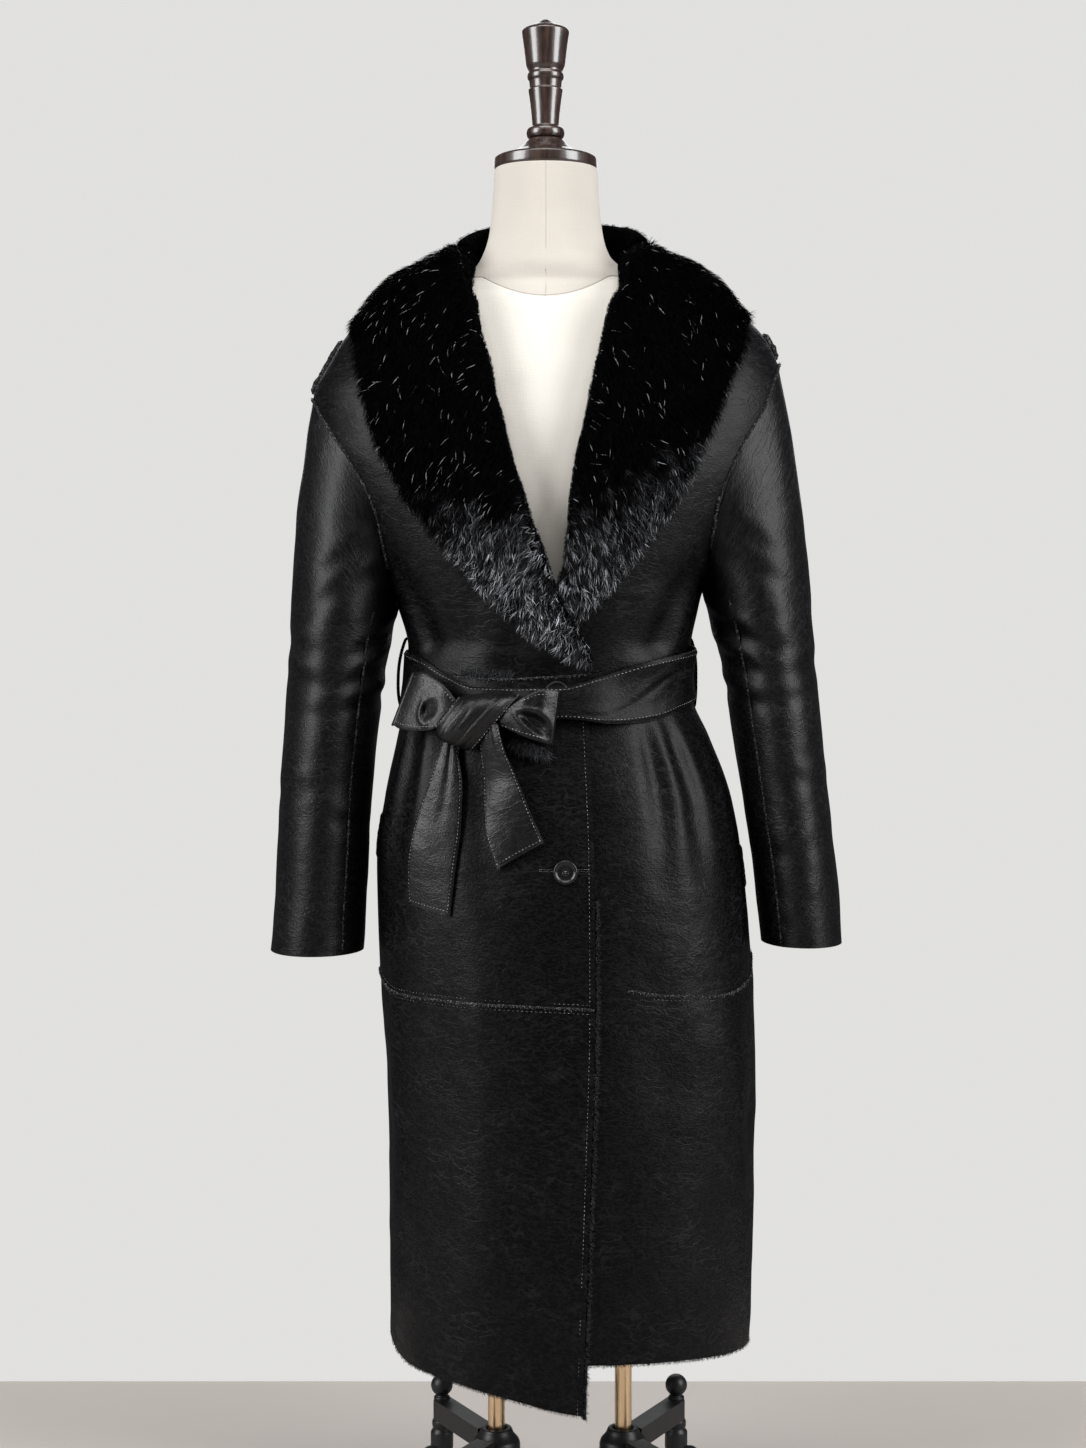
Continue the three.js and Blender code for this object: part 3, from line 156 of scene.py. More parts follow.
underLevels = Table("angle waist hip hem", [
    (-20, 876, 580, 223), (10, 877, 579, 223), (28, 880, 571, 222), (50, 878, 567, 218),
    (72, 876, 575, 214), (90, 876, 597, 212), (180, 876, 575, 218),
])

# Folds of the cloth: the angle of each at its top and at its foot, how wide and how deep it
# is, and where it starts and ends. A negative depth is a ridge. The last column is where
# along its run it is deepest, from 0 at the top.
folds = [
    # top, foot, spread, depth, high, low, deepest
    (-58, -62, 5.0, 5.0, 846, 600, 0.25), (-50, -52, 2.6, -2.2, 850, 690, 0.2),
    (-66, -70, 3.0, -2.0, 850, 660, 0.2), (-40, -44, 3.4, 3.6, 850, 640, 0.2),
    (-22, -20, 4.0, 3.4, 820, 560, 0.3), (-30, -33, 3.0, -1.8, 830, 650, 0.25),
    (34, 28, 3.6, 5.0, 850, 600, 0.25), (39.5, 38, 4.2, -1.6, 850, 620, 0.25),
    (45.5, 47, 3.8, 4.6, 850, 620, 0.25), (52, 57, 5.0, -1.2, 850, 620, 0.25),
    (60, 66, 5.0, 2.0, 846, 620, 0.25), (24, 26, 8.0, 4.0, 660, 330, 0.5),
    (-36, -40, 10, 2.4, 640, 330, 0.5), (52, 58, 9, -2.4, 620, 300, 0.5),
    (70, 74, 6, 2.8, 600, 250, 0.45), (-78, -80, 6, 2.2, 600, 260, 0.5),
    (128, 132, 6, 6.0, 845, 560, 0.3), (158, 156, 5, 5.0, 845, 620, 0.3),
    (-140, -144, 6, 6.0, 845, 590, 0.3), (-168, -166, 5, 5.0, 845, 640, 0.3),
    (143, 146, 4, -3.0, 845, 640, 0.25), (-154, -152, 4, -3.0, 845, 640, 0.25),
    (108, 112, 4, 3.6, 845, 650, 0.25), (-112, -116, 4, 3.6, 845, 650, 0.25),
    (-118, -120, 6, 4.0, 560, 250, 0.5), (145, 150, 8, 5.0, 520, 215, 0.5),
    (178, 176, 10, 3.0, 560, 260, 0.5), (110, 106, 7, 3.0, 500, 215, 0.5),
    (-60, -52, 5.0, 4.4, 1000, 886, 0.8), (-68, -62, 3.4, -3.0, 1010, 886, 0.8),
    (-36, -38, 7.0, 2.4, 960, 886, 0.7), (56, 44, 5.0, 4.4, 1000, 886, 0.8),
    (66, 58, 3.6, -3.0, 1010, 886, 0.8), (30, 36, 6.0, 2.0, 960, 886, 0.7),
    (140, 136, 7, 5.0, 1010, 890, 0.7), (-146, -142, 7, 5.0, 1010, 890, 0.7),
    (165, 168, 6, 3.0, 990, 890, 0.7), (-170, -168, 6, 3.0, 980, 890, 0.7),
]


def foldDepth(degrees, z):
    around = signedAngle(degrees)
    total = np.zeros(np.broadcast(degrees, z).shape)
    for top, foot, spread, depth, high, low, deepest in folds:
        t = clamp01((high - z) / (high - low))
        run = ramp(t / deepest) * ramp((1 - t) / (1 - deepest))
        across = (around - mix(top, foot, t)) / (spread * (1 + 0.7 * t))
        total = total + depth * np.exp(-across * across) * run
    return total


def power(value, exponent):
    return np.sign(value) * np.abs(value) ** exponent


def sectionPoint(rows, degrees, z):
    turn = np.radians(degrees)
    half, centre = (rows.left(z) + rows.right(z)) / 2, (rows.left(z) - rows.right(z)) / 2
    depth = np.where(np.cos(turn) >= 0, rows.front(z), rows.back(z))
    bend = 2 / garment["roundness"]
    x = centre + half * power(np.sin(turn), bend)
    y = -depth * power(np.cos(turn), bend)
    return np.stack(np.broadcast_arrays(x, y, z * 1.0), -1)


def bodyNormal(degrees, z):
    across = sectionPoint(body, degrees + 0.05, z) - sectionPoint(body, degrees - 0.05, z)
    up = sectionPoint(body, degrees, z + 1) - sectionPoint(body, degrees, z - 1)
    return unit(np.cross(across, up))


def bodyPoint(degrees, z, lift=0.0):  # the cloth's outer face, moved out by lift
    raised = np.asarray(lift - foldDepth(degrees, z))
    return sectionPoint(body, degrees, z) + bodyNormal(degrees, z) * raised[..., None]


def angleAt(x, z, onBack=False):
    half, centre = (body.left(z) + body.right(z)) / 2, (body.left(z) - body.right(z)) / 2
    share = np.minimum(1, np.abs((x - centre) / half)) ** (garment["roundness"] / 2)
    degrees = np.sign(x - centre) * np.degrees(np.arcsin(share))
    return np.where(onBack, np.where(degrees < 0, -180, 180) - degrees, degrees)


# The lap: how far the right front rises in it and over the left collar, where each of these
# begins and over what distance it eases, and how what lies on it steps down past its edge.
lap = {
    "rise": 5, "overCollar": 6, "top": 1075, "topEase": 60, "fromUnder": 72, "underEase": 50,
    "collarFoot": 876, "footEase": 26, "fromEdge": 62, "edgeEase": 34, "stepStart": 2, "step": 26,
}


def overLift(degrees, z):  # the right front rises over the left one and over its collar
    x = sectionPoint(body, degrees, z)[..., 0]
    ending = ramp((lap["top"] - z) / lap["topEase"])
    inLap = ramp((x - underEdge(z) + lap["fromUnder"]) / lap["underEase"]) * ending
    overCollar = ramp((z - lap["collarFoot"]) / lap["footEase"]) * ending
    overCollar = overCollar * ramp((x - overEdge(z) + lap["fromEdge"]) / lap["edgeEase"])
    return np.where(np.abs(degrees) > 90, 0, lap["rise"] * inLap + lap["overCollar"] * overCollar)


def noLift(degrees, z):
    return np.zeros(np.broadcast(degrees, z).shape)


def coatLift(degrees, z):  # what lies on the coat steps down past the lapping edge
    past = sectionPoint(body, degrees, z)[..., 0] - overEdge(z)
    return overLift(degrees, z) * (1 - ramp((past - lap["stepStart"]) / lap["step"]))


def softNoise(points, size, seed=0):  # smooth noise between -1 and 1
    at = np.asarray(points, float) / size + seed * 17.31
    cell = np.floor(at)
    part = ramp(at - cell)
    total = 0
    for corner in np.ndindex(2, 2, 2):
        offset = np.array(corner)
        weight = np.prod(np.where(offset, part, 1 - part), axis=-1)
        draw = np.sin((cell + offset) @ np.array([127.1, 311.7, 74.7])) * 43758.5453
        total = total + weight * (draw - np.floor(draw))
    return total * 2 - 1


# Shaders: every finish is a small tree of nodes made with plain arithmetic.
class Wire:  # one output of a node, with arithmetic
    def __init__(self, finish, socket):
        self.finish, self.socket = finish, socket

    def joined(self, operation, first, second):
        return self.finish.node("ShaderNodeMath", {"operation": operation}, {0: first, 1: second})

    def __add__(self, other):
        return self.joined("ADD", self, other)

    def __sub__(self, other):
        return self.joined("SUBTRACT", self, other)

    def __rsub__(self, other):
        return self.joined("SUBTRACT", other, self)

    def __mul__(self, other):
        return self.joined("MULTIPLY", self, other)

    def __abs__(self):
        return self.joined("ABSOLUTE", self, 0)

    __radd__ = __add__
    __rmul__ = __mul__


class Finish:
    def __init__(self, name):
        self.material = bpy.data.materials.new(name)
        self.material.use_nodes = True
        self.tree = self.material.node_tree
        self.tree.nodes.clear()

    def node(self, kind, settings=None, inputs=None, output=0):
        made = self.tree.nodes.new(kind)
        for key, value in (settings or {}).items():
            setattr(made, key, value)
        for key, value in (inputs or {}).items():
            if isinstance(value, Wire):
                self.tree.links.new(value.socket, made.inputs[key])
            else:
                made.inputs[key].default_value = value
        return Wire(self, made.outputs[output]) if made.outputs else None

    def attribute(self, name, output="Fac"):
        return self.node("ShaderNodeAttribute", {"attribute_name": name}, output=output)

    def place(self):
        return self.node("ShaderNodeTexCoord", output="Object")

    def stretched(self, vector, factors):
        return self.node("ShaderNodeVectorMath", {"operation": "MULTIPLY"}, {0: vector, 1: factors})

    def warped(self, vector, size, amount):
        inputs = {"Vector": vector, "Scale": 1 / size, "Detail": 1}
        cloud = self.node("ShaderNodeTexNoise", {}, inputs, "Color")
        half = (0.5, 0.5, 0.5)
        centred = self.node("ShaderNodeVectorMath", {"operation": "SUBTRACT"}, {0: cloud, 1: half})
        moved = self.stretched(centred, (amount, amount, amount))
        return self.node("ShaderNodeVectorMath", {"operation": "ADD"}, {0: vector, 1: moved})

    def noise(self, vector, scale, detail=2, rough=0.5):
        return self.node("ShaderNodeTexNoise", {}, {
            "Vector": vector, "Scale": scale, "Detail": detail, "Roughness": rough,
        })

    def step(self, value, low, high):
        return self.node("ShaderNodeMapRange", {"interpolation_type": "SMOOTHSTEP"}, {
            "Value": value, "From Min": low, "From Max": high,
        })

    def blend(self, factor, first, second):
        return self.node("ShaderNodeMix", {"data_type": "RGBA"}, {
            0: factor, 6: (*first, 1) if isinstance(first, tuple) else first,
            7: (*second, 1) if isinstance(second, tuple) else second,
        }, 2)

    def bump(self, height, strength, distance, normal=None):
        inputs = {"Height": height, "Strength": strength, "Distance": distance}
        if normal:
            inputs["Normal"] = normal
        return self.node("ShaderNodeBump", {}, inputs)

    def surface(self, **values):
        names = {"colour": "Base Color", "roughness": "Roughness", "metallic": "Metallic",
                 "normal": "Normal", "specular": "Specular IOR Level", "sheen": "Sheen Weight",
                 "sheenRoughness": "Sheen Roughness", "coat": "Coat Weight",
                 "coatRoughness": "Coat Roughness"}
        shader = self.node("ShaderNodeBsdfPrincipled", {}, {
            names[key]: (*value, 1) if isinstance(value, tuple) else value
            for key, value in values.items()
        })
        self.node("ShaderNodeOutputMaterial", {}, {"Surface": shader})
        return self.material


def leatherFinish(name, dark, pale, roughness, grain, shine):
    finish = Finish(name)
    lay = finish.attribute("lay", "Vector")
    wavy = finish.warped(lay, 0.016, 0.008)
    wrinkles = []
    for factors, width in (((52, 110, 58), 0.05), ((130, 290, 96), 0.08)):  # broad ones and fine ones
        lines = abs(finish.noise(finish.stretched(wavy, factors), 1.0, 2, 0.5) - 0.5)
        wrinkles.append(1 - finish.step(lines, 0.0, width))
    patches = finish.step(finish.noise(lay, 22, 2), 0.38, 0.66)
    cells = {"Vector": lay, "Scale": 620}
    pebble = finish.node("ShaderNodeTexVoronoi", {"feature": "SMOOTH_F1"}, cells)
    soft = finish.noise(finish.stretched(lay, (24, 36, 20)), 1.0, 2)
    height = wrinkles[0] * (0.25 + 0.75 * patches) * 0.6 + wrinkles[1] * (1 - 0.5 * patches) * 0.28
    broad = finish.bump(soft, 0.22, 0.006)
    normal = finish.bump(height + pebble * 0.7, grain, 0.00026, broad)
    mottle = finish.noise(lay, 60, 4, 0.6)
    colour = finish.blend(finish.step(mottle, 0.3, 0.75), dark, pale)
    # Painted highlight: paler lines along the wrinkles, stronger in patches for the broad ones, stand in for
    # light caught by the crease crests.
    creaseHighlight = wrinkles[0] * patches * 0.7 + wrinkles[1] * 0.45
    creaseHighlighted = finish.blend(creaseHighlight, colour, (0.0075, 0.0075, 0.0084))
    return finish.surface(colour=creaseHighlighted, roughness=roughness + 0.08 * mottle, normal=normal, specular=shine)


def furFinish(name, deep, glint):
    finish = Finish(name)
    tone = finish.attribute("tone")
    # Collar hairs: their tone carries painted sheen and painted glints, blending them from deep black towards
    # the pale glint colour; loose fibres use it for their own random paleness.
    colour = finish.blend(tone, deep, glint)
    return finish.surface(colour=colour, roughness=0.5 - 0.12 * tone, specular=0.012)


def pileFinish(name, colour, paler):
    finish = Finish(name)
    at = finish.place()
    cloud = finish.noise(at, 140, 4, 0.65)
    tufts = finish.noise(at, 520, 3, 0.7)
    shade = finish.blend(finish.step(cloud, 0.35, 0.7), colour, paler)
    return finish.surface(colour=shade, roughness=0.95, specular=0.02,
                          normal=finish.bump(tufts + cloud, 0.9, 0.004))


def rawFinish():
    finish = Finish("rawEdgeFinish")
    at = finish.place()
    specks = finish.step(finish.noise(at, 480, 2, 0.7), 0.54, 0.64)
    cloud = finish.noise(at, 90, 2)
    colour = finish.blend(specks * (0.3 + 0.9 * cloud), (0.003, 0.003, 0.0033), (0.095, 0.095, 0.098))
    return finish.surface(colour=colour, roughness=0.9, specular=0.2,
                          normal=finish.bump(finish.noise(at, 900, 2), 0.8, 0.001))


def threadFinish():
    finish = Finish("threadFinish")
    cloud = finish.noise(finish.place(), 160, 2)
    colour = finish.blend(finish.step(cloud, 0.35, 0.65), (0.05, 0.05, 0.052), (0.26, 0.26, 0.268))
    return finish.surface(colour=colour, roughness=0.6, specular=0.4)


def linenFinish():
    finish = Finish("linenFinish")
    at = finish.place()
    warped = finish.warped(at, 0.03, 0.0008)
    threads = []
    for factors in ((1500, 90, 90), (90, 90, 1500)):
        threads.append(finish.noise(finish.stretched(warped, factors), 1.0, 2, 0.6))
    slubs = finish.step(threads[0], 0.66, 0.78) + finish.step(threads[1], 0.68, 0.8)
    seams = 0
    for name, depth in (("toNeck", 1.0), ("toCentre", 0.75), ("toSide", 0.75)):
        seams = seams + depth * (1 - finish.step(abs(finish.attribute(name)), 0.0002, 0.0011))
    cloud = finish.noise(at, 16, 3)
    # Painted shade: the neck above its seam gets a darker linen than the chest below it.
    neckShade = finish.step(finish.attribute("toNeck"), -0.001, 0.001)
    base = finish.blend(neckShade, finish.blend(cloud, (0.475, 0.452, 0.41), (0.53, 0.51, 0.472)),
                        finish.blend(cloud, (0.355, 0.33, 0.297), (0.40, 0.375, 0.338)))
    flecked = finish.blend(slubs * 0.4, base, (0.35, 0.305, 0.245))
    colour = finish.blend(seams * 0.5, flecked, (0.17, 0.15, 0.13))
    return finish.surface(colour=colour, roughness=0.86, specular=0.2,
                          normal=finish.bump(threads[0] + threads[1] - 9 * seams, 0.35, 0.0008),
                          sheen=0.1, sheenRoughness=0.5)


def woodFinish():
    finish = Finish("darkWoodFinish")
    at = finish.place()
    rings = finish.noise(finish.stretched(at, (240, 240, 14)), 1.0, 4, 0.6)
    colour = finish.blend(finish.step(rings, 0.35, 0.7), (0.010, 0.0055, 0.0045), (0.034, 0.017, 0.012))
    return finish.surface(colour=colour, roughness=0.24 + 0.16 * rings, coat=0.5, coatRoughness=0.12,
                          normal=finish.bump(rings, 0.08, 0.0006))


def brassFinish():
    finish = Finish("brassFinish")
    at = finish.place()
    drawn = finish.noise(finish.stretched(at, (500, 500, 9)), 1.0, 3, 0.6)
    cloud = finish.noise(at, 30, 2)
    colour = finish.blend(cloud, (0.58, 0.41, 0.235), (0.70, 0.52, 0.33))
    return finish.surface(colour=colour, metallic=1.0, roughness=0.24 + 0.08 * drawn,
                          normal=finish.bump(drawn, 0.05, 0.0004))


def ironFinish():
    finish = Finish("blackIronFinish")
    at = finish.place()
    cloud = finish.noise(at, 45, 3)
    orange = finish.noise(at, 600, 2)
    colour = finish.blend(cloud, (0.003, 0.003, 0.0035), (0.007, 0.007, 0.0075))
    return finish.surface(colour=colour, roughness=0.36 + 0.16 * cloud, specular=0.3,
                          normal=finish.bump(orange, 0.12, 0.0004))


def hornFinish():
    finish = Finish("hornFinish")
    at = finish.place()
    swirl = finish.noise(finish.warped(at, 0.012, 0.01), 160, 3)
    colour = finish.blend(swirl, (0.002, 0.002, 0.0023), (0.006, 0.006, 0.0066))
    return finish.surface(colour=colour, roughness=0.2 + 0.18 * swirl, specular=0.3,
                          normal=finish.bump(swirl, 0.05, 0.0005))


panelHide = ((0.0005, 0.0005, 0.0006), (0.0010, 0.0010, 0.0012))
beltHide = ((0.0009, 0.0009, 0.0010), (0.0016, 0.0016, 0.0018))
# Painted light: a paler hide for the strap's knot, bows and tails than for its band.
litStrapHide = ((0.0010, 0.0010, 0.0011), (0.0018, 0.0018, 0.0020))
leather = leatherFinish("leatherFinish", *panelHide, roughness=0.36, grain=0.9, shine=0.095)
beltLeather = leatherFinish("beltLeatherFinish", *beltHide, roughness=0.37, grain=0.8, shine=0.085)
# Painted light: a lit copy of the coat's leather, the same hide with a stronger shine, so the sleeves catch
# more light than the fronts.
litSleeveLeather = leatherFinish("litSleeveLeatherFinish", *panelHide, roughness=0.38, grain=0.9, shine=0.16)
# Painted light: a lit copy of the belt's leather, with a paler hide and stronger shine, for the knot, bows
# and tails.
litStrapLeather = leatherFinish("litStrapLeatherFinish", *litStrapHide, roughness=0.34, grain=0.9, shine=0.24)
lining = pileFinish("liningFinish", (0.0025, 0.0025, 0.0027), (0.0075, 0.0075, 0.0078))
furBase = pileFinish("furBaseFinish", (0.0003, 0.0003, 0.0004), (0.0009, 0.0009, 0.001))
furHair = furFinish("furHairFinish", (0.0002, 0.0002, 0.0003), (0.42, 0.435, 0.465))
rawEdge = rawFinish()
thread = threadFinish()
print("materials made")


def makePiece(name, points, faceGroups, materials, replaced=(), attributes=None, crisp=()):
    # faceGroups are (faces, material number) pairs, each with faces of one number of corners
    mesh = bpy.data.meshes.new(name)
    corners = np.concatenate([np.asarray(faces).ravel() for faces, number in faceGroups])
    sizes = np.repeat([np.shape(faces)[1] for faces, number in faceGroups],
                      [len(faces) for faces, number in faceGroups])
    numbers = np.repeat([number for faces, number in faceGroups],
                        [len(faces) for faces, number in faceGroups])
    mesh.vertices.add(len(points))
    mesh.vertices.foreach_set("co", toFrame(points).astype(np.float32).ravel())
    mesh.loops.add(len(corners))
    mesh.loops.foreach_set("vertex_index", corners.astype(np.int32))
    mesh.polygons.add(len(sizes))
    starts = np.concatenate([[0], np.cumsum(sizes)[:-1]])
    mesh.polygons.foreach_set("loop_start", starts.astype(np.int32))
    mesh.update(calc_edges=True)
    for material in materials:
        mesh.materials.append(material)
    mesh.polygons.foreach_set("material_index", numbers.astype(np.int32))
    if crisp:  # the edges around a cut rim stay sharp
        edgeOf = np.empty(len(corners), np.int32)
        mesh.loops.foreach_get("edge_index", edgeOf)
        onRim = np.repeat(np.isin(numbers, crisp), sizes)
        inRim = np.bincount(edgeOf[onRim], minlength=len(mesh.edges)) > 0
        inCloth = np.bincount(edgeOf[~onRim], minlength=len(mesh.edges)) > 0
        made = mesh.attributes.new("sharp_edge", "BOOLEAN", "EDGE")
        made.data.foreach_set("value", inRim & inCloth)
    for key, values in (attributes or {}).items():
        values = np.asarray(values, np.float32)
        kind, field = ("FLOAT_VECTOR", "vector") if values.ndim == 2 else ("FLOAT", "value")
        mesh.attributes.new(key, kind, "POINT").data.foreach_set(field, values.ravel())
    piece = bpy.data.objects.new(name, mesh)
    bpy.context.collection.objects.link(piece)
    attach(piece, "root")
    if replaced:
        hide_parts(*replaced)


def gridNormals(grid, closed=False):
    down = np.gradient(grid, axis=0)
    if closed:
        across = np.roll(grid, -1, axis=1) - np.roll(grid, 1, axis=1)
    else:
        across = np.gradient(grid, axis=1)
    return unit(np.cross(across, down))


def gridQuads(rows, columns, start=0, closed=False, ring=False):
    last = columns if closed else columns - 1
    r, c = np.meshgrid(np.arange(rows if ring else rows - 1), np.arange(last), indexing="ij")
    r, c = r.ravel(), c.ravel()
    after, beside = (r + 1) % rows, (c + 1) % columns
    return start + np.stack([r * columns + c, r * columns + beside,
                             after * columns + beside, after * columns + c], 1)


def shell(grid, thickness, closed=False, ring=False, outward=None):
    # a thin wall under a grid of points: its points and its faces, outside, inside and rim
    rows, columns = grid.shape[:2]
    normals = gridNormals(grid, closed)
    if ring:
        wrapped = np.concatenate([grid[-1:], grid, grid[:1]])
        normals = gridNormals(wrapped, closed)[1:-1]
    middle = grid.mean(axis=1, keepdims=True) if closed else np.array([0, 0, 1]) * grid[..., 2:]
    reach = outward if outward is not None else grid - middle
    flipped = np.mean(np.sum(normals * reach, -1)) < 0
    if flipped:
        normals = -normals
    inner = grid - normals * thickness
    points = np.concatenate([grid.reshape(-1, 3), inner.reshape(-1, 3)])
    count = rows * columns
    outside = gridQuads(rows, columns, 0, closed, ring)
    inside = gridQuads(rows, columns, count, closed, ring)[:, ::-1]
    rim = []
    index = np.arange(count).reshape(rows, columns)
    if not ring:
        for row, way in ((index[0], 1), (index[-1], -1)):
            ends = np.roll(row, -1) if closed else row[1:]
            starts = row if closed else row[:-1]
            side = np.stack([starts, starts + count, ends + count, ends], 1)
            rim.append(side[:, ::way])
    if not closed:
        for column, way in ((index[:, 0], -1), (index[:, -1], 1)):
            starts, ends = (column, np.roll(column, -1)) if ring else (column[:-1], column[1:])
            side = np.stack([starts, starts + count, ends + count, ends], 1)
            rim.append(side[:, ::way])
    rim = np.concatenate(rim) if rim else np.zeros((0, 4), int)
    if flipped:
        outside, inside, rim = outside[:, ::-1], inside[:, ::-1], rim[:, ::-1]
    return points, [(outside, 0), (inside, 1), (rim, 2)]


def clothPiece(name, grid, lay, materials, replaced, thickness=garment["cloth"], slot="leather", **shape):
    points, faceGroups = shell(grid, thickness, **shape)
    lays = np.concatenate([lay.reshape(-1, 3), lay.reshape(-1, 3)])
    makePiece(name, points, faceGroups, materials, [replaced], {"lay": lays}, crisp=(2,))


def layOf(grid, seed, turned=False):  # distances along the cloth, in metres
    width = np.linalg.norm(np.diff(grid, axis=1), axis=-1).mean(axis=0)
    length = np.linalg.norm(np.diff(grid, axis=0), axis=-1).mean(axis=1)
    u = np.concatenate([[0], np.cumsum(width)]) / 1000
    v = np.concatenate([[0], np.cumsum(length)]) / 1000
    us, vs = np.meshgrid(u, v)
    if turned:
        us, vs = vs, us
    return np.stack([us, vs, np.full(us.shape, seed * 0.37)], -1)


def strands(name, roots, normals, ways, lengths, widths, rises, tones, rng, curl=0.25):
    # single hairs: narrow tapering ribbons that start upright and lie down along their way
    count = len(roots)
    stages = np.array([0, 0.38, 0.72, 1.0])
    rise = np.array([0, 0.62, 0.92, 1.0])
    along = np.array([0, 0.26, 0.64, 1.0])
    side = unit(np.cross(ways, normals))
    bend = rng.normal(0, curl, (count, 1)) * side
    line = (roots[:, None] + normals[:, None] * (rise[None, :, None] * rises[:, None, None])
            + ways[:, None] * (along[None, :, None] * lengths[:, None, None])
            + bend[:, None] * (stages[None, :, None] ** 2 * lengths[:, None, None]))
    spin = rng.uniform(-0.9, 0.9, (count, 1))
    flat = unit(side * np.cos(spin) + normals * np.sin(spin))
    half = widths[:, None] * np.array([0.8, 1.0, 0.7]) / 2
    left = line[:, :3] - flat[:, None] * half[..., None]
    right = line[:, :3] + flat[:, None] * half[..., None]
    points = np.concatenate([left, right, line[:, 3:]], axis=1).reshape(-1, 3)
    start = np.arange(count)[:, None] * 7
    pattern = np.array([[0, 3, 4], [0, 4, 1], [1, 4, 5], [1, 5, 2], [2, 5, 6]])
    triangles = (start[:, None] + pattern[None]).reshape(-1, 3)
    makePiece(name, points, [(triangles, 0)], [furHair], attributes={"tone": np.repeat(tones, 7)})


def stitchLine(line, normals, pitch=4.2, length=2.7, width=0.62, height=0.34):
    # short raised stitches along a line of points: their points and faces
    steps = np.linalg.norm(np.diff(line, axis=0), axis=1)
    run = np.concatenate([[0], np.cumsum(steps)])
    starts = np.arange(pitch / 2, run[-1] - length, pitch)
    centre = starts + length / 2

    def at(values, places):
        return np.stack([np.interp(places, run, values[:, k]) for k in range(3)], -1)
    a, b, m = at(line, starts), at(line, starts + length), at(line, centre)
    out = unit(at(normals, centre))
    side = unit(np.cross(b - a, out)) * width / 2
    up = out * height
    points = np.stack([a, m - side, m + up, m + side, b], 1).reshape(-1, 3)
    base = np.arange(len(starts))[:, None, None] * 5
    pattern = [[0, 1, 2], [0, 2, 3], [4, 2, 1], [4, 3, 2], [0, 3, 1], [4, 1, 3]]
    return points, (base + np.array(pattern)).reshape(-1, 3)


def stitches(name, lines, slot="raw_edge", **sizes):
    allPoints, allFaces, start = [], [], 0
    for line, normals in lines:
        points, faces = stitchLine(line, normals, **sizes)
        allPoints.append(points)
        allFaces.append(faces + start)
        start += len(points)
    makePiece(name, np.concatenate(allPoints), [(np.concatenate(allFaces), 0)], [thread])


# Armholes: how far out each one's edge lies at each height.
class Armhole:
    def __init__(self, sign, rows):
        self.sign = sign
        self.low, self.high = rows[0][0], rows[-1][0]
        self.reach = Table("z x", rows).x

    def angle(self, z, onBack):
        inside = (z > self.low) & (z < self.high)
        return np.where(inside, angleAt(self.sign * self.reach(z), z, onBack), self.sign * 90)


armholes = {
    "right": Armhole(-1, [(940, 151.5), (985, 159), (1041, 171), (1083, 193), (1111, 212), (1149, 235)]),
    "left": Armhole(1, [(957, 152), (1011, 157), (1048, 163), (1093, 182), (1138, 208), (1183, 226)]),
}
sides = {"right": -1, "left": 1}

# Panels of the bodice, the hips and the skirt.
panels = {"frontColumns": 52, "backColumns": 70, "bodiceRows": 96}


def foldedIn(z):  # under the collar the cut edges stand back from where the fur rolls over them
    return 13 * ramp((z - 905) / 60)


seamOf = {"right": lambda z: overEdge(z) - foldedIn(z), "left": lambda z: underEdge(z) + foldedIn(z)}
liftOf = {"right": overLift, "left": noLift, "back": noLift}
# the lapping front's edges are turned in, the other cut edges stay raw
panelMaterials = {
    "right": [leather, lining, leather],
    "left": [leather, lining, rawEdge],
    "back": [leather, lining, rawEdge],
}


def levelAt(side, name, degrees):
    over, under = getattr(levels, name)(degrees), getattr(underLevels, name)(degrees)
    return {"right": over, "left": under, "back": np.where(degrees < 0, over, under)}[side]


def cloudShift(points, amount, seed):  # the cloth is never quite smooth
    return amount * (softNoise(points, 46, seed) + 0.5 * softNoise(points, 21, seed + 1))


def panelGrid(degrees, z, lift, seed, uneven=0.5):
    grid = bodyPoint(degrees, z, lift(degrees, z))
    return grid + bodyNormal(degrees, z) * cloudShift(grid, uneven, seed)[..., None]


def frontBodice(side, seed):
    hole, edge, lift = armholes[side], seamOf[side], liftOf[side]
    t = np.linspace(0, 1, panels["bodiceRows"])[:, None]
    nominal = mix(garment["waist"], garment["neckline"], t)
    start = hole.angle(nominal, False)
    end = angleAt(edge(nominal), nominal)
    degrees = mix(start, end, np.linspace(0, 1, panels["frontColumns"])[None])
    waist = levelAt(side, "waist", degrees) + garment["seam"] / 2
    z = nominal + (waist - garment["waist"]) * (1 - ramp((nominal - garment["waist"]) / 26))
    grid = panelGrid(degrees, z, lift, seed)
    clothPiece(f"frontBodice_{side}", grid, layOf(grid, seed), panelMaterials[side], f"front_bodice_{side}")


def backBodice(seed):
    t = np.linspace(0, 1, panels["bodiceRows"])[:, None]
    u = np.linspace(0, 1, panels["backColumns"])[None]
    heights = []
    for side in ("left", "right"):
        hole = armholes[side]
        stops = [garment["waist"], hole.low, hole.high, garment["neckline"]]
        heights.append(smoothColumn([0, 0.22, 0.7, 1], stops)(t))
    start = armholes["left"].angle(heights[0], True)
    end = 360 + armholes["right"].angle(heights[1], True)
    degrees = mix(start, end, u)
    z = mix(heights[0], heights[1], u)
    grid = panelGrid(degrees, z, noLift, seed)
    clothPiece("backBodice", grid, layOf(grid, seed), panelMaterials["back"], "back_bodice")


lowerPanels = {  # rows, the levels of its foot and top, unevenness and the visible piece's name
    "hip_panel": (72, "hip", "waist", 0.5, "hipPanel"),
    "skirt": (84, "hem", "hip", 0.9, "skirtPanel"),
}
frontEdgeAngle = {"right": 12, "left": -16}


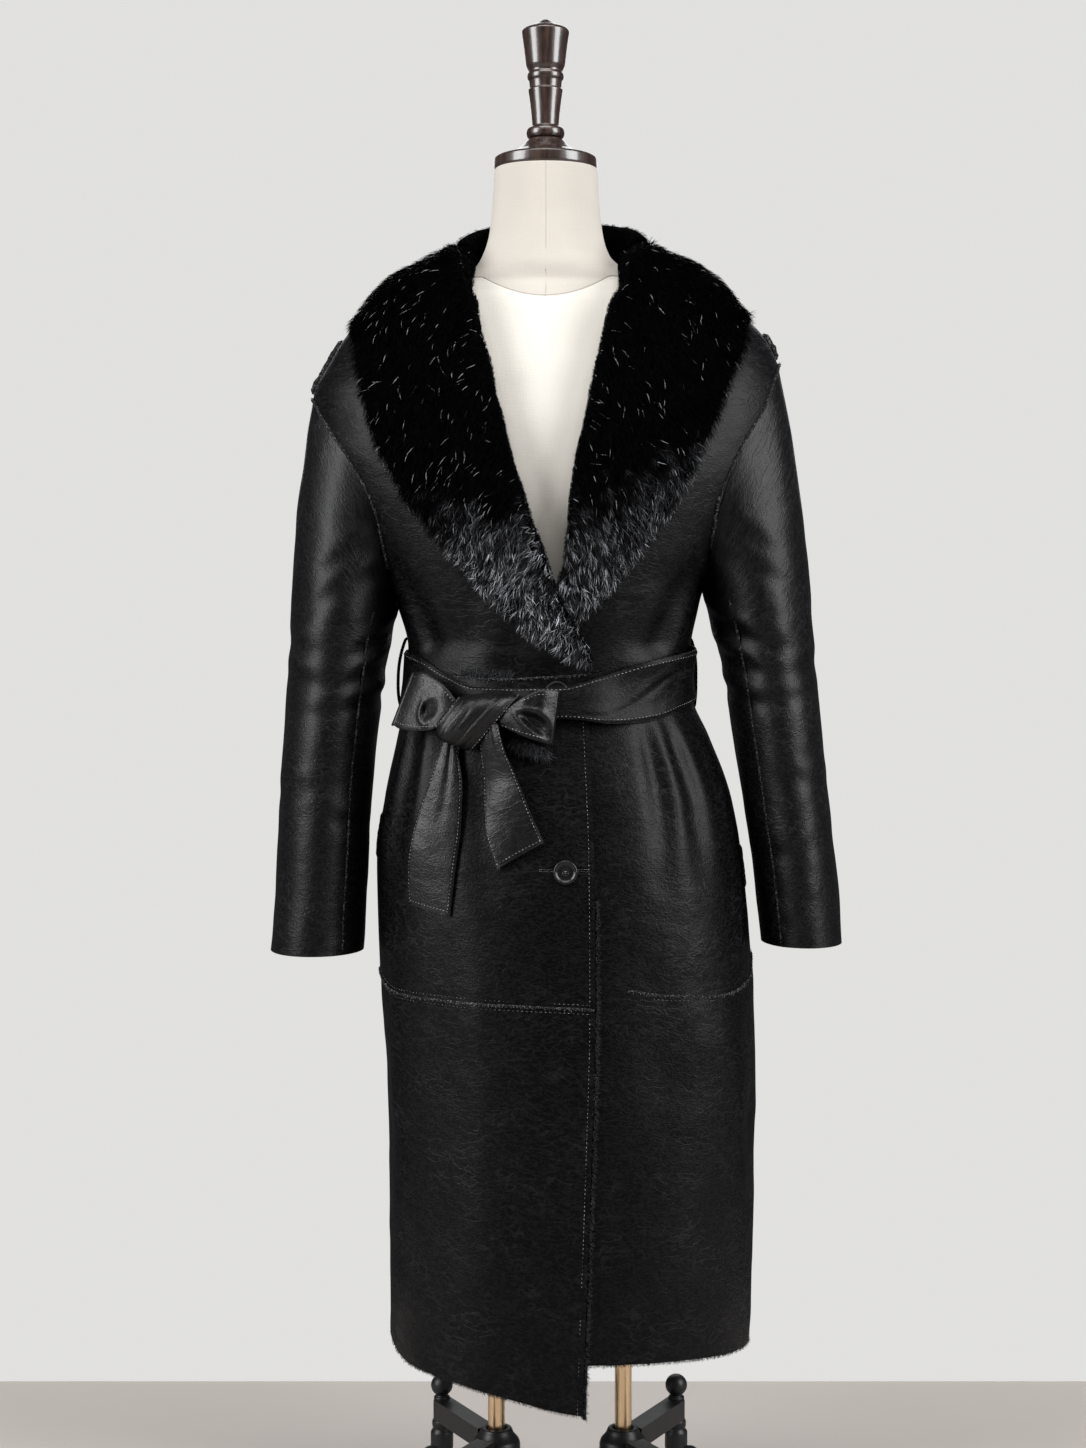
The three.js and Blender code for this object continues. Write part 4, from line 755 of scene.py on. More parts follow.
def lowerPanel(kind, side, seed):
    rows, lowName, highName, uneven, name = lowerPanels[kind]
    around = panels["backColumns"] if side == "back" else panels["frontColumns"]
    t = np.linspace(0, 1, rows)[:, None]
    gap = garment["seam"] / 2
    if side == "back":
        start, end = 90, 270
    else:
        at = frontEdgeAngle[side]
        edgeZ = mix(levelAt(side, lowName, at), levelAt(side, highName, at), t)
        start, end = sides[side] * 90, angleAt(seamOf[side](edgeZ), edgeZ)
    degrees = signedAngle(mix(start, end, np.linspace(0, 1, around)[None]))
    low = levelAt(side, lowName, degrees) + (gap if lowName != "hem" else 0)
    z = mix(low, levelAt(side, highName, degrees) - gap, t)
    grid = panelGrid(degrees, z, liftOf[side], seed, uneven)
    clothPiece(f"{name}_{side}", grid, layOf(grid, seed), panelMaterials[side], f"{kind}_{side}")


frontBodice("right", 1)
frontBodice("left", 2)
backBodice(3)
for seed, side in enumerate(("right", "left", "back"), 4):
    lowerPanel("hip_panel", side, seed)
    lowerPanel("skirt", side, seed + 3)
print("panels cut")

# Sleeves: the outer and inner line at each height, half depth and how far it swings forward.
sleeveTables = {
    "right": Table("z outer inner half forward", [
        (601, 278, 186, 64, 12), (657, 274, 183, 65, 11), (737, 270, 179, 67, 9), (797, 267, 174, 69, 7),
        (857, 262, 166, 71, 5), (900, 260, 160, 73, 4), (938, 258, 156, 75, 3), (1018, 253, 156, 74, 2),
        (1086, 246, 158, 68, 1), (1149, 236, 160, 58, 0),
    ]),
    "left": Table("z outer inner half forward", [
        (609, 291, 211, 62, 12), (675, 286, 204, 63, 11), (747, 278, 193, 66, 9), (817, 271, 182, 69, 7),
        (869, 266, 174, 71, 5), (905, 263, 166, 73, 4), (958, 259, 158, 75, 3), (1026, 252, 156, 74, 2),
        (1090, 244, 158, 70, 1), (1183, 227, 160, 58, 0),
    ]),
}
sleeveSet = {"cuff": {"right": 601, "left": 609}, "headEnd": {"right": 900, "left": 905},
             "around": 92, "headRows": 46, "armRows": 78, "uneven": 0.8, "seeds": {"right": 11, "left": 12}}
# creases of each sleeve: turn from the outer line over the front, height, slope, width, length, depth
sleeveCreases = {
    "right": [(150, 880, 0.5, 9, 46, 3.2), (165, 850, 0.3, 8, 40, 2.8), (140, 905, 0.7, 9, 40, 2.4),
              (40, 900, -0.25, 10, 44, 1.6), (60, 868, -0.2, 9, 50, 1.8), (100, 840, 0.2, 8, 40, 1.6),
              (120, 1010, 1.2, 12, 60, 2.6), (95, 960, 0.9, 12, 70, 2.0), (50, 760, 0.15, 9, 46, 1.3),
              (130, 730, -0.2, 9, 46, 1.5), (220, 880, 0.2, 10, 50, 2.6), (250, 850, -0.2, 9, 50, 2.2),
              (300, 900, 0.3, 10, 46, 1.8), (240, 990, -1.0, 12, 60, 2.6), (270, 770, 0.1, 9, 50, 1.4)],
    "left": [(150, 890, 0.5, 9, 46, 3.4), (160, 856, 0.3, 8, 42, 2.6), (138, 920, 0.7, 9, 42, 2.4),
             (45, 880, -0.3, 10, 46, 1.8), (80, 850, -0.15, 9, 50, 1.8), (100, 905, 0.3, 9, 44, 1.6),
             (125, 1030, 1.2, 12, 64, 2.6), (90, 975, 0.8, 12, 70, 2.0), (60, 770, 0.1, 9, 46, 1.3),
             (120, 700, -0.2, 9, 46, 1.4), (225, 890, 0.2, 10, 50, 2.6), (255, 858, -0.2, 9, 50, 2.2),
             (300, 915, 0.3, 10, 46, 1.8), (238, 1000, -1.0, 12, 60, 2.6), (265, 760, 0.1, 9, 50, 1.4)],
}


def sleevePoint(side, turn, z):
    rows = sleeveTables[side]
    middle = (rows.outer(z) + rows.inner(z)) / 2
    width = (rows.outer(z) - rows.inner(z)) / 2
    x = sides[side] * (middle + width * np.cos(turn))
    y = -rows.half(z) * np.sin(turn) - rows.forward(z)
    return np.stack(np.broadcast_arrays(x, y, z * 1.0), -1)


def sleeveCloth(side, turn, t):
    # t runs from 0 at the armhole over 1 at the level ring below the head to 2 at the cuff
    hole = armholes[side]
    top = hole.low + (hole.high - hole.low) * (1 + np.cos(turn)) / 2
    onBack = np.sin(turn) < 0
    start = bodyPoint(hole.angle(top, onBack), top)
    correction = start - sleevePoint(side, turn, top)
    headEnd, cuff = sleeveSet["headEnd"][side], sleeveSet["cuff"][side]
    inHead, inArm = mix(top, headEnd, np.minimum(t, 1)), mix(headEnd, cuff, np.maximum(t - 1, 0))
    z = np.where(t <= 1, inHead, inArm)
    fade = (1 - np.minimum(t, 1)) ** 2
    return sleevePoint(side, turn, z) + correction * fade[..., None]


def sleeve(side):
    seed = sleeveSet["seeds"][side]
    head = np.linspace(0.012, 1, sleeveSet["headRows"])
    arm = np.linspace(1, 2, sleeveSet["armRows"])[1:]
    t = np.concatenate([head, arm])[:, None]
    turn = np.linspace(0, 2 * np.pi, sleeveSet["around"], endpoint=False)[None]
    t, turn = np.broadcast_arrays(t, turn)
    grid = sleeveCloth(side, turn, t)
    normals = gridNormals(grid, True)
    outward = grid - grid.mean(axis=1, keepdims=True)
    normals = np.where(np.sum(normals * outward) < 0, -1, 1) * normals
    press = np.zeros(turn.shape)
    degrees = np.degrees(turn)
    for at, z, slope, width, length, depth in sleeveCreases[side]:
        apart = (degrees - at + 180) % 360 - 180
        across = (grid[..., 2] - z - slope * apart * 0.6) / width
        press += depth * (hill(across, 1) - 0.55 * hill(across - 1.7, 1)) * hill(apart, length)
    press *= ramp(t / 0.25)
    uneven = cloudShift(grid, sleeveSet["uneven"], seed) * ramp(t / 0.2)
    grid = grid + normals * (uneven - press)[..., None]
    lay = layOf(np.concatenate([grid, grid[:, :1]], 1), seed)[:, :-1]
    clothPiece(f"sleeveCloth_{side}", grid, lay, [litSleeveLeather, lining, litSleeveLeather], f"sleeve_{side}",
               closed=True)


for side in sides:
    sleeve(side)
print("sleeves set in")

# The shawl collar, in two halves with a seam at the centre back.
collarNames = "at neckAngle neckZ fallAngle fallZ stand roll"
collarRows = {  # from the centre back to the tip; below row 4 the neck runs down the front edge
    "right": [
        (-180, 1275, -180, 1128, 56, 25), (-152, 1275, -157, 1133, 54, 25), (-122, 1275, -130, 1158, 48, 25),
        (-97, 1276, -101, 1208, 38, 24), (None, 1282, -198, 1203, 29, 23), (None, 1240, -196, 1174, 19, 20),
        (None, 1205, -187, 1142, 12, 17), (None, 1150, -170, 1086, 8, 14), (None, 1086, -142, 1042, 7, 13),
        (None, 1027, -96, 988, 7, 13), (None, 974, -57, 947, 7, 12), (None, 925, -16, 910, 6, 10),
        (None, 888, 17, 890, 4, 7),
    ],
    "left": [
        (180, 1275, 180, 1128, 56, 25), (152, 1275, 157, 1133, 54, 25), (122, 1275, 130, 1160, 48, 25),
        (97, 1276, 101, 1214, 38, 24), (None, 1281, 200, 1211, 29, 23), (None, 1240, 196, 1182, 19, 20),
        (None, 1200, 181, 1147, 12, 17), (None, 1143, 163, 1103, 8, 14), (None, 1092, 134, 1050, 7, 13),
        (None, 1046, 98, 1000, 7, 13), (None, 1000, 62, 955, 6, 12), (None, 968, 35, 925, 4, 8),
        (None, 937, 14, 905, 3, 6),
    ],
}
collarSet = {"firstFrontRow": 4, "gap": 1.9, "pile": 6.5, "sections": 110, "finer": 4,
             "taller": {"right": 0, "left": 13}, "moreInset": {"right": 0, "left": 3}}
collarInset = Table("at edge raised loft", [
    (0, 6, 8, 8), (1.2, 6, 10, 9), (2.2, 8, 14, 14), (3, 17, 20, 21), (3.5, 28, 16, 21), (4, 24, 4, 20),
    (4.5, 17, -10, 17), (5, 15, -11, 11), (5.6, 15, -3, 5), (7, 14, 0, 0), (9, 7, 0, 0), (12, 5, 0, 0),
])
collarLoft = Table("at share", [
    (-0.3, 0.3), (0, 0.55), (0.14, 0.9), (0.34, 1), (0.56, 0.74), (0.78, 0.16), (0.93, 0), (1, 0),
])
# the section: a place past the neckline in shares of the stand, or down the fall, and a height
collarShown = [
    ("inside", 0.1, -3), ("inside", 0.5, -3.6), ("inside", 0.85, -2.4), ("roll", 1, 0.3), ("roll", 1, 0.6),
    ("roll", 0.75, 0.85), ("roll", 0.2, 0.82), ("fall", 0.14, 1.12), ("fall", 0.34, 1), ("fall", 0.56, 1),
    ("fall", 0.78, 1), ("fall", 0.93, 0.85), ("fall", 1, 0.6),
]
collarHidden = [1, 0.94, 0.78, 0.56, 0.34, 0.14, 0]


class Collar:
    def __init__(self, side):
        self.side, self.edge = side, seamOf[side]
        rows = []
        for at, (neck, neckZ, fall, fallZ, stand, roll) in enumerate(collarRows[side]):
            if neck is None:
                neck, fall = angleAt(self.edge(neckZ), neckZ), angleAt(fall, fallZ)
            rows.append((at, float(neck), neckZ, float(fall), fallZ, stand, roll))
        self.rows, self.last = Table(collarNames, rows), len(rows) - 1

    def point(self, s, share, height):
        neckZ = self.rows.neckZ(s)
        onFront = s >= collarSet["firstFrontRow"]
        neckAngle = np.where(onFront, angleAt(self.edge(neckZ), neckZ), self.rows.neckAngle(s))
        angle = mix(neckAngle, self.rows.fallAngle(s), share)
        z = mix(neckZ, self.rows.fallZ(s), share)
        x = sectionPoint(body, angle, z)[..., 0]
        loose = (self.side == "right") | (np.abs(angle) > 90)
        free = np.where(loose, 1, ramp((x - overEdge(z) - 11) / 22))
        pressed = np.where(height > 0, height * mix(0.3, 1, free), height)
        return bodyPoint(angle, z, liftOf[self.side](angle, z) + pressed), angle

    def sections(self):
        s = np.linspace(0, self.last, collarSet["sections"])
        neck, fall = self.point(s, 0 * s, 0 * s)[0], self.point(s, 0 * s + 1, 0 * s)[0]
        length = np.linalg.norm(neck - fall, axis=1)
        gap, stand, roll = collarSet["gap"], self.rows.stand(s), self.rows.roll(s)
        reach = 1 - (collarInset.edge(s) + collarSet["moreInset"][self.side]) / length
        ended = mix(1, 0.7, ramp((s - self.last + 1.5) / 1.5))
        pile = collarSet["pile"] * ended
        standing = stand + collarInset.raised(s) + collarSet["taller"][self.side] * hill(s - 3, 1.3)
        rows = []
        for kind, place, height in collarShown:
            past = gap + place * standing
            share = place * reach if kind == "fall" else -past / length
            high = {"inside": height, "roll": height * roll * 0.86, "fall": height * pile}[kind]
            if kind == "fall" or place < 0.5:
                high = high + collarInset.loft(s) * collarLoft.share(place if kind == "fall" else 0)
            rows.append(self.point(s, share, high + 0 * s)[0])
        for share in collarHidden:
            place = share * reach
            angle = self.point(s, place, 0 * s)[1]
            under = 2.0 + 6.4 * hill(np.abs(angle) - 99, 33)
            rows.append(self.point(s, place, np.minimum(under, 5))[0])
        rows.append(self.point(s, -gap / length, 0 * s - 1.2)[0])
        return finerRing(np.stack(rows, 1), collarSet["finer"])


def finerRing(grid, count):  # a smooth closed curve through the points of each row
    before, after, far = (np.roll(grid, by, axis=1) for by in (1, -1, -2))
    parts = []
    for step in range(count):
        t = step / count
        parts.append(0.5 * (2 * grid + (after - before) * t + (2 * before - 5 * grid + 4 * after - far) * t**2
                            + (3 * grid - before - 3 * after + far) * t**3))
    return np.stack(parts, 2).reshape(grid.shape[0], -1, 3)


def loftFaces(rows, columns):
    quads = gridQuads(rows, columns, 0, True)
    ends = []
    for base in (0, (rows - 1) * columns):
        half = columns // 2
        for k in range(half - 1):
            ends.append((base + k, base + k + 1, base + columns - 2 - k, base + columns - 1 - k))
    return quads, np.array(ends)


# Hairs on the collar: counts, length, width and rise ranges, and the painted sheen: below the height lit,
# raised further out by litOutside and easing over soft, hairs are painted paler.
hairSet = {
    "front": 26500, "back": 6500, "length": (7.5, 12.5), "width": (0.42, 0.8), "rise": (2.6, 5.2),
    "lit": {"right": 1052, "left": 1056}, "litOutside": {"right": 6, "left": 62}, "soft": 84,
}


def collar(side, seed):
    rng = np.random.default_rng(seed)
    shape = Collar(side)
    grid = shape.sections()
    rows, columns = grid.shape[:2]
    lump = 1.4 * softNoise(grid, 24, seed) + 0.8 * softNoise(grid, 10, seed + 1)
    normals = gridNormals(grid, True)
    if np.mean(np.sum(normals * (grid - grid.mean(axis=1, keepdims=True)), -1)) < 0:
        normals = -normals
    grid = grid + normals * lump[..., None]
    quads, ends = loftFaces(rows, columns)
    makePiece(f"collarBase_{side}", grid.reshape(-1, 3), [(quads, 0), (ends, 0)], [furBase],
              [f"collar_{side}"])

    # hairs: spread evenly over the face that shows, from inside the stand to the outer edge
    shown = (len(collarShown) - 1) * collarSet["finer"] + 3
    a, b, c = grid[:-1, :shown], grid[:-1, 1:shown + 1], grid[1:, :shown]
    area = np.linalg.norm(np.cross(b - a, c - a), axis=-1)
    onFront = (np.arange(rows - 1) / (rows - 1) * shape.last >= 3.6)[:, None]
    for part, chosen in (("front", onFront), ("back", ~onFront)):
        weight = (area * chosen).ravel()
        count = hairSet[part]
        pick = rng.choice(len(weight), count, p=weight / weight.sum())
        row, column = pick // area.shape[1], pick % area.shape[1]
        u, v = rng.random((2, count, 1))

        def spread(field):
            return mix(mix(field[row, column], field[row, column + 1], u),
                       mix(field[row + 1, column], field[row + 1, column + 1], u), v)
        roots, out = spread(grid), unit(spread(normals))
        toEdge = unit(grid[row, column + 1] - grid[row, column])
        toTip = unit(grid[row + 1, column] - grid[row, column])
        down = np.array([0, 0, -1.0]) - out * -out[:, 2:]
        swirl = np.stack([softNoise(roots, 19, seed + k) for k in (5, 6, 7)], 1)
        fall = ramp((column[:, None] - 16) / 14)
        way = toEdge * mix(0.75, 0.5, fall) + toTip * 0.28 + down * 0.5 * fall
        way = way + swirl * 0.62 + rng.normal(0, 0.2, (count, 3))
        way = unit(way - out * np.sum(way * out, 1, keepdims=True))
        tuft = softNoise(roots, 5.5, seed + 9)
        short = mix(0.42, 1, ramp((column - 10) / 18))
        length = rng.uniform(*hairSet["length"], count) * (1 + 0.16 * tuft) * short
        rise = rng.uniform(*hairSet["rise"], count) * (1 + 0.28 * tuft) * short
        # Painted sheen and highlights: hairs below a wavy height line are painted paler where light would
        # catch the nap, glints grow brighter towards the lower tip, and a few single hairs are painted as
        # bright glints.
        outer = ramp((np.abs(roots[:, 0]) - 60) / 90)
        line = hairSet["lit"][side] + hairSet["litOutside"][side] * outer
        cloudy = 26 * softNoise(roots, 30, seed + 3) + 20 * softNoise(roots, 8, seed + 4)
        lit = ramp((line - roots[:, 2] + cloudy) / hairSet["soft"])
        glint = rng.random(count) ** 3.6 * mix(0.75, 1.5, ramp((1040 - roots[:, 2]) / 120))
        clump = ramp((softNoise(roots, 3.6, seed + 12) + 0.35) / 0.8)
        sparse = rng.random(count)
        tone = np.clip(lit * (0.02 + 0.98 * glint * clump) + 0.42 * (sparse > 0.992), 0, 1)
        strands(f"collarFur_{part}_{side}", roots - out * 0.6, out, way, length,
                rng.uniform(*hairSet["width"], count), rise, tone, rng)


for seed, side in enumerate(sides, 31):
    collar(side, seed)
print("collar and its fur made")


# Raw edges of the cloth and the fibres that stand out of them.
def polyline(points):  # even steps along a line, every millimetre or so
    run = np.concatenate([[0], np.cumsum(np.linalg.norm(np.diff(points, axis=0), axis=1))])
    even = np.linspace(0, run[-1], max(3, int(run[-1] / 1.3)))
    return np.stack([np.interp(even, run, points[:, k]) for k in range(3)], 1)


def resample(values, like):  # directions along a line, at as many places as another line has
    at = np.linspace(0, len(values) - 1, len(like))
    return unit(np.stack([np.interp(at, np.arange(len(values)), values[:, k]) for k in range(3)], 1))


ridgeSection = [
    (-1.0, 0.0), (-0.82, 0.55), (-0.35, 0.92), (0.12, 1.0), (0.6, 0.86), (1.0, 0.45), (1.0, 0.0),
]
fibreDraws = np.random.default_rng(71)


def ridge(name, line, out, replaced, width, height, seed, lift=0.0):
    # a cut edge that stands up from a seam, a little uneven along its run
    tangent = unit(np.gradient(line, axis=0))
    out = unit(out - tangent * np.sum(out * tangent, 1, keepdims=True))
    side = np.cross(tangent, out)
    uneven = (1 + 0.22 * softNoise(line, 7, seed) + 0.12 * softNoise(line, 2.6, seed + 1))[:, None]
    ends = np.minimum(np.arange(len(line)), np.arange(len(line))[::-1])[:, None]
    uneven = uneven * mix(0.5, 1, ramp(ends / 3))
    grid = np.stack([
        line + side * (across * width / 2) * uneven + out * (lift + up * height * uneven)
        for across, up in ridgeSection
    ], 1)
    rows, columns = grid.shape[:2]
    quads = gridQuads(rows, columns, 0, True)
    caps = [[0] + list(range(columns - 1, 0, -1)), [(rows - 1) * columns + k for k in range(columns)]]
    makePiece(name, grid.reshape(-1, 3), [(quads, 0), (np.array(caps), 0)], [rawEdge], replaced)


def fuzz(name, line, out, way, count, length, rise, tone, spread, width=0.34):
    # short fibres along a line, leaning every way
    out, way = np.broadcast_to(out, line.shape), np.broadcast_to(way, line.shape)
    at = fibreDraws.uniform(0, len(line) - 1.001, count)
    i, t = at.astype(int), (at % 1)[:, None]
    across = np.cross(unit(line[i + 1] - line[i]), out[i])
    roots = mix(line[i], line[i + 1], t) + fibreDraws.normal(0, spread, (count, 1)) * across
    lean = unit(way[i] + fibreDraws.normal(0, 0.5, (count, 3)))
    strands(name, roots, unit(out[i]), lean, fibreDraws.uniform(*length, count), np.full(count, width),
            fibreDraws.uniform(*rise, count), fibreDraws.uniform(*tone, count) * 0.32, fibreDraws,
            curl=0.4)


def seamRun(start, end, side, name, count=420):
    degrees = np.linspace(start, end, count)
    around = signedAngle(degrees)
    z = levelAt(side, name, around)
    line = polyline(bodyPoint(around, z, liftOf[side](around, z)))
    degrees = np.interp(np.linspace(0, 1, len(line)), np.linspace(0, 1, count), degrees)
    around = signedAngle(degrees)
    return line, bodyNormal(around, levelAt(side, name, around))


def lapStop(height, inset):  # the angle at which a seam meets the lapping edge
    z = float(height(11))
    return float(angleAt(overEdge(z) - inset, z))


down = np.array([0, 0, -1.0])
seamRuns = {  # where each seam's raw edge starts and ends, and the piece of the frame it replaces
    "waistEdge": (seamRun(-36, lapStop(levels.waist, 1.0), "right", "waist"), "waist_edge"),
    "hipEdge_right": (seamRun(-89, lapStop(levels.hip, 1.0), "right", "hip"), "hip_edge_right"),
    "hipEdge_left": (seamRun(15.5, 89, "left", "hip"), "hip_edge_left"),
    "hipEdge_back": (seamRun(91, 269, "back", "hip"), "hip_edge_back"),
}
for seed, (name, ((line, out), node)) in enumerate(seamRuns.items(), 51):
    ridge(name, line, out, [node], 2.2, 1.5, seed)
    fuzz(f"{name}Fibres", line + out, out, down, int(len(line) * 2.4), length=(0.8, 2.0), rise=(0.2, 0.9),
         tone=(0.3, 1.0), spread=0.7)


def shoulderEdge(side):
    hole = armholes[side]
    z = np.linspace({"right": 1206, "left": 1212}[side], hole.high + 4, 60)
    degrees = np.full(60, hole.sign * 90.0)
    line = polyline(bodyPoint(degrees, z))
    ridge(f"shoulderEdge_{side}", line, resample(bodyNormal(degrees, z), line), [f"shoulder_edge_{side}"],
          3.4, 5.2, 61)


def armholeEdge(side, seed):
    hole = armholes[side]
    turn = np.linspace(-2.25, 2.25, 240)
    z = hole.low + (hole.high - hole.low) * (1 + np.cos(turn)) / 2
    degrees = hole.angle(z, turn > 0)
    line, out = bodyPoint(degrees, z), bodyNormal(degrees, z)
    inward = unit(np.cross(np.gradient(line, axis=0), out))
    inward = inward * np.sign(np.sum(inward * -line, 1, keepdims=True))
    line = polyline(line + inward)
    out, away = resample(out, line), resample(-inward, line)
    ridge(f"armholeEdge_{side}", line, out, [f"armhole_edge_{side}"], 3.0, 2.6, seed, -0.2)
    fuzz(f"armholeFibres_{side}", line + out * 2, out, away, int(len(line) * 1.6), length=(0.8, 2.0),
         rise=(0.2, 0.9), tone=(0.1, 0.6), spread=0.8)


pocketSlits = {"right": (694, 738), "left": (664, 706)}
for seed, side in enumerate(sides, 63):
    shoulderEdge(side)
    armholeEdge(side, seed)
    z = np.linspace(*pocketSlits[side], 40)
    degrees = np.full(40, sides[side] * 82.0)
    ridge(f"pocketEdge_{side}", bodyPoint(degrees, z), bodyNormal(degrees, z), [f"pocket_edge_{side}"],
          2.2, 1.9, seed + 4, -0.2)


def sleeveSeam(side, seed):  # the raised seam down the inside of each sleeve
    t = np.linspace(0.55, 1.985, 300)
    turn = np.full(300, math.radians(128))
    grid = np.stack([sleeveCloth(side, turn + step, t) for step in (-0.02, 0, 0.02)], 1)
    normals, line = gridNormals(grid)[:, 1], grid[:, 1]
    centre = sleevePoint(side, np.full(300, np.pi / 2), line[:, 2]) * [1, 0, 1]
    normals = normals * np.sign(np.sum(normals * (line - centre), 1, keepdims=True))
    uneven = cloudShift(line, sleeveSet["uneven"], sleeveSet["seeds"][side])
    line = polyline(line + normals * uneven[:, None])
    out = resample(normals, line)
    ridge(f"sleeveSeam_{side}", line, out, [], 2.0, 1.2, seed, -0.3)
    fuzz(f"sleeveSeamFibres_{side}", line + out * 0.7, out, down, int(len(line) * 1.4), length=(0.7, 1.6),
         rise=(0.2, 0.7), tone=(0.1, 0.8), spread=0.6)


for seed, side in enumerate(sides, 81):
    sleeveSeam(side, seed)


# fur from the inside shows past the right front's cut edge, at the hem and over the waist seam
def edgeFringe():
    z = np.linspace(levels.hem(12) + 3, 664, 420)
    reach = 0.8 + 1.6 * (0.5 + 0.5 * softNoise(np.stack([z, z * 0, z * 0], 1), 9, 3))
    rows = []
    for past in (0.4, 1.4, reach + 1.4):
        x = overEdge(z) + past
        level = angleAt(overEdge(z), z)
        rows.append(bodyPoint(angleAt(x, z), z, overLift(level, z) - 0.5 - 0.25 * past))
    grid = np.stack(rows, 1)
    clothPiece("frontFringe", grid, layOf(grid, 91), [furBase] * 3, "front_fringe", 2.0, "fur")
    out = bodyNormal(angleAt(overEdge(z), z), z)
    way = unit(unit(grid[:, 2] - grid[:, 0]) + np.array([0, 0, -0.6]))
    fuzz("frontFringeFibres", grid[:, 1], out, way, 3800, length=(1.8, 4.4), rise=(0.2, 1.6),
         tone=(0.0, 0.25), spread=1.1, width=0.4)


edgeFringe()
hemRuns = {  # from and to which angle the hem runs, points along it and how many fibres
    "right": (-90, angleAt(overEdge(190), 190), 300, 2000),
    "left": (angleAt(underEdge(220), 220), 90, 300, 1700),
    "back": (90, 270, 400, 2200),
}
for side, (start, end, points, count) in hemRuns.items():
    degrees = signedAngle(np.linspace(start, end, points))
    z = levelAt(side, "hem", degrees)
    out = bodyNormal(degrees, z)
    line = bodyPoint(degrees, z, liftOf[side](degrees, z)) - out * 1.6
    fuzz(f"hemFibres_{side}", line, -out * 0.2 + down, down, count, length=(1.6, 3.6), rise=(0.2, 0.8),
         tone=(0.0, 0.35), spread=0.9, width=0.36)
degrees = np.linspace(-34, -12, 200)
z = levels.waist(degrees) + 1.5
fuzz("waistTuft", bodyPoint(degrees, z, overLift(degrees, z) + 0.3), bodyNormal(degrees, z), [0.3, 0, 1.0],
     420, length=(4, 11), rise=(0.4, 1.4), tone=(0.0, 0.42), spread=1.6, width=0.4)
print("raw edges made")

# Stitches on the cloth.
def onCoat(degrees, z, lift=overLift, neckShade=0.25):
    return bodyPoint(degrees, z, lift(degrees, z) + neckShade), bodyNormal(degrees, z)


def frontEdgeRun(low, high):
    z = np.linspace(low, high, 260)
    return onCoat(angleAt(overEdge(z) - 5.2, z), z)


buttonSet = {"radius": 11.6, "upper": (6, 857), "lower": (14, 690), "holeZ": 691.5, "holeX": (-11, 38)}
frontRuns = [frontEdgeRun(levels.hem(12) + 2, levels.hip(12) - 3),
             frontEdgeRun(levels.hip(12) + 3, levels.waist(12) - 16)]
stitches("frontStitches", frontRuns, pitch=4.0, length=2.8, width=0.55, height=0.3)
holeRuns = []
for neckShade in (-0.9, 0.9):  # the two rows of the buttonhole
    z = buttonSet["holeZ"] + neckShade
    x = np.linspace(*buttonSet["holeX"], 60)
    holeRuns.append(onCoat(angleAt(x, z), 0 * x + z))
stitches("buttonholeStitches", holeRuns, pitch=1.5, length=1.2, width=0.45, height=0.3)
degrees, underDegrees = np.linspace(-88, lapStop(levels.hip, 4.0), 300), np.linspace(17, 89, 240)
stitches("hipStitches", [
    onCoat(degrees, levels.hip(degrees) - 4.4),
    onCoat(degrees, levels.hip(degrees) + 4.0),
    onCoat(underDegrees, underLevels.hip(underDegrees) - 4.2, noLift),
], pitch=4.4, length=2.6, width=0.4, height=0.16)

# The belt: its band, carriers, tails, bow loops and knot.
belt = {  # the last three: where the rise over the button and the lap ends, and its easing
    "thickness": 3.2, "clear": 1.3, "overButton": 5.8,
    "leftOfButton": (70, 52), "rightOfButton": (44, 26), "pastLap": (2, 66),
}
beltEdges = Table("angle upper lower", [
    (-180, 905, 851), (-90, 899, 848), (-60, 891, 843), (-40, 874, 834), (-26, 863, 830), (3, 861, 831),
    (17, 873, 827), (38, 889, 831), (62, 898, 842), (90, 904, 849), (180, 905, 851),
])


def beltLift(degrees, z):  # over the button and over the lap, easing down to each side of them
    x = sectionPoint(body, degrees, z)[..., 0]
    fromButton = x - buttonSet["upper"][0]
    (left, leftEase), (right, rightEase) = belt["leftOfButton"], belt["rightOfButton"]
    start, ease = belt["pastLap"]
    overButton = np.where(fromButton > 0, ramp((left - fromButton) / leftEase),
                          ramp((right + fromButton) / rightEase))
    overLap = overLift(degrees, z) * (1 - ramp((x - overEdge(z) - start) / ease))
    return belt["clear"] + overLap + belt["overButton"] * overButton + foldDepth(degrees, z) * 0.7


def beltRelief(degrees, v):  # soft creases along the band, and one long one on the wearer's left
    across = v - 0.12 - 0.62 * ramp((degrees - 12) / 50)
    long = (0.5 * hill(across - 0.14, 0.1) - hill(across, 0.07)) * window(degrees, 4, 10, 66, 18)
    pulled = hill(v - 0.45 - 0.004 * (degrees + 60), 0.1) * window(degrees, -66, 14, -26, 12)
    tilted = 11 * v**1.2 * window(degrees, 18, 24, 86, 22)
    return long - pulled + tilted


def beltSurface(degrees, v, raised=0.0):
    z = mix(beltEdges.lower(degrees), beltEdges.upper(degrees), v)
    pinch = 1 - 0.5 * ramp((np.abs(v - 0.5) - 0.44) / 0.06)
    lift = beltLift(degrees, z) + belt["thickness"] * pinch + beltRelief(degrees, v) + raised
    uneven = 0.35 * softNoise(np.stack(np.broadcast_arrays(degrees * 2.2, v * 55, 0.0 * v), -1), 13, 41)
    return bodyPoint(degrees, z, lift + uneven), bodyNormal(degrees, z)


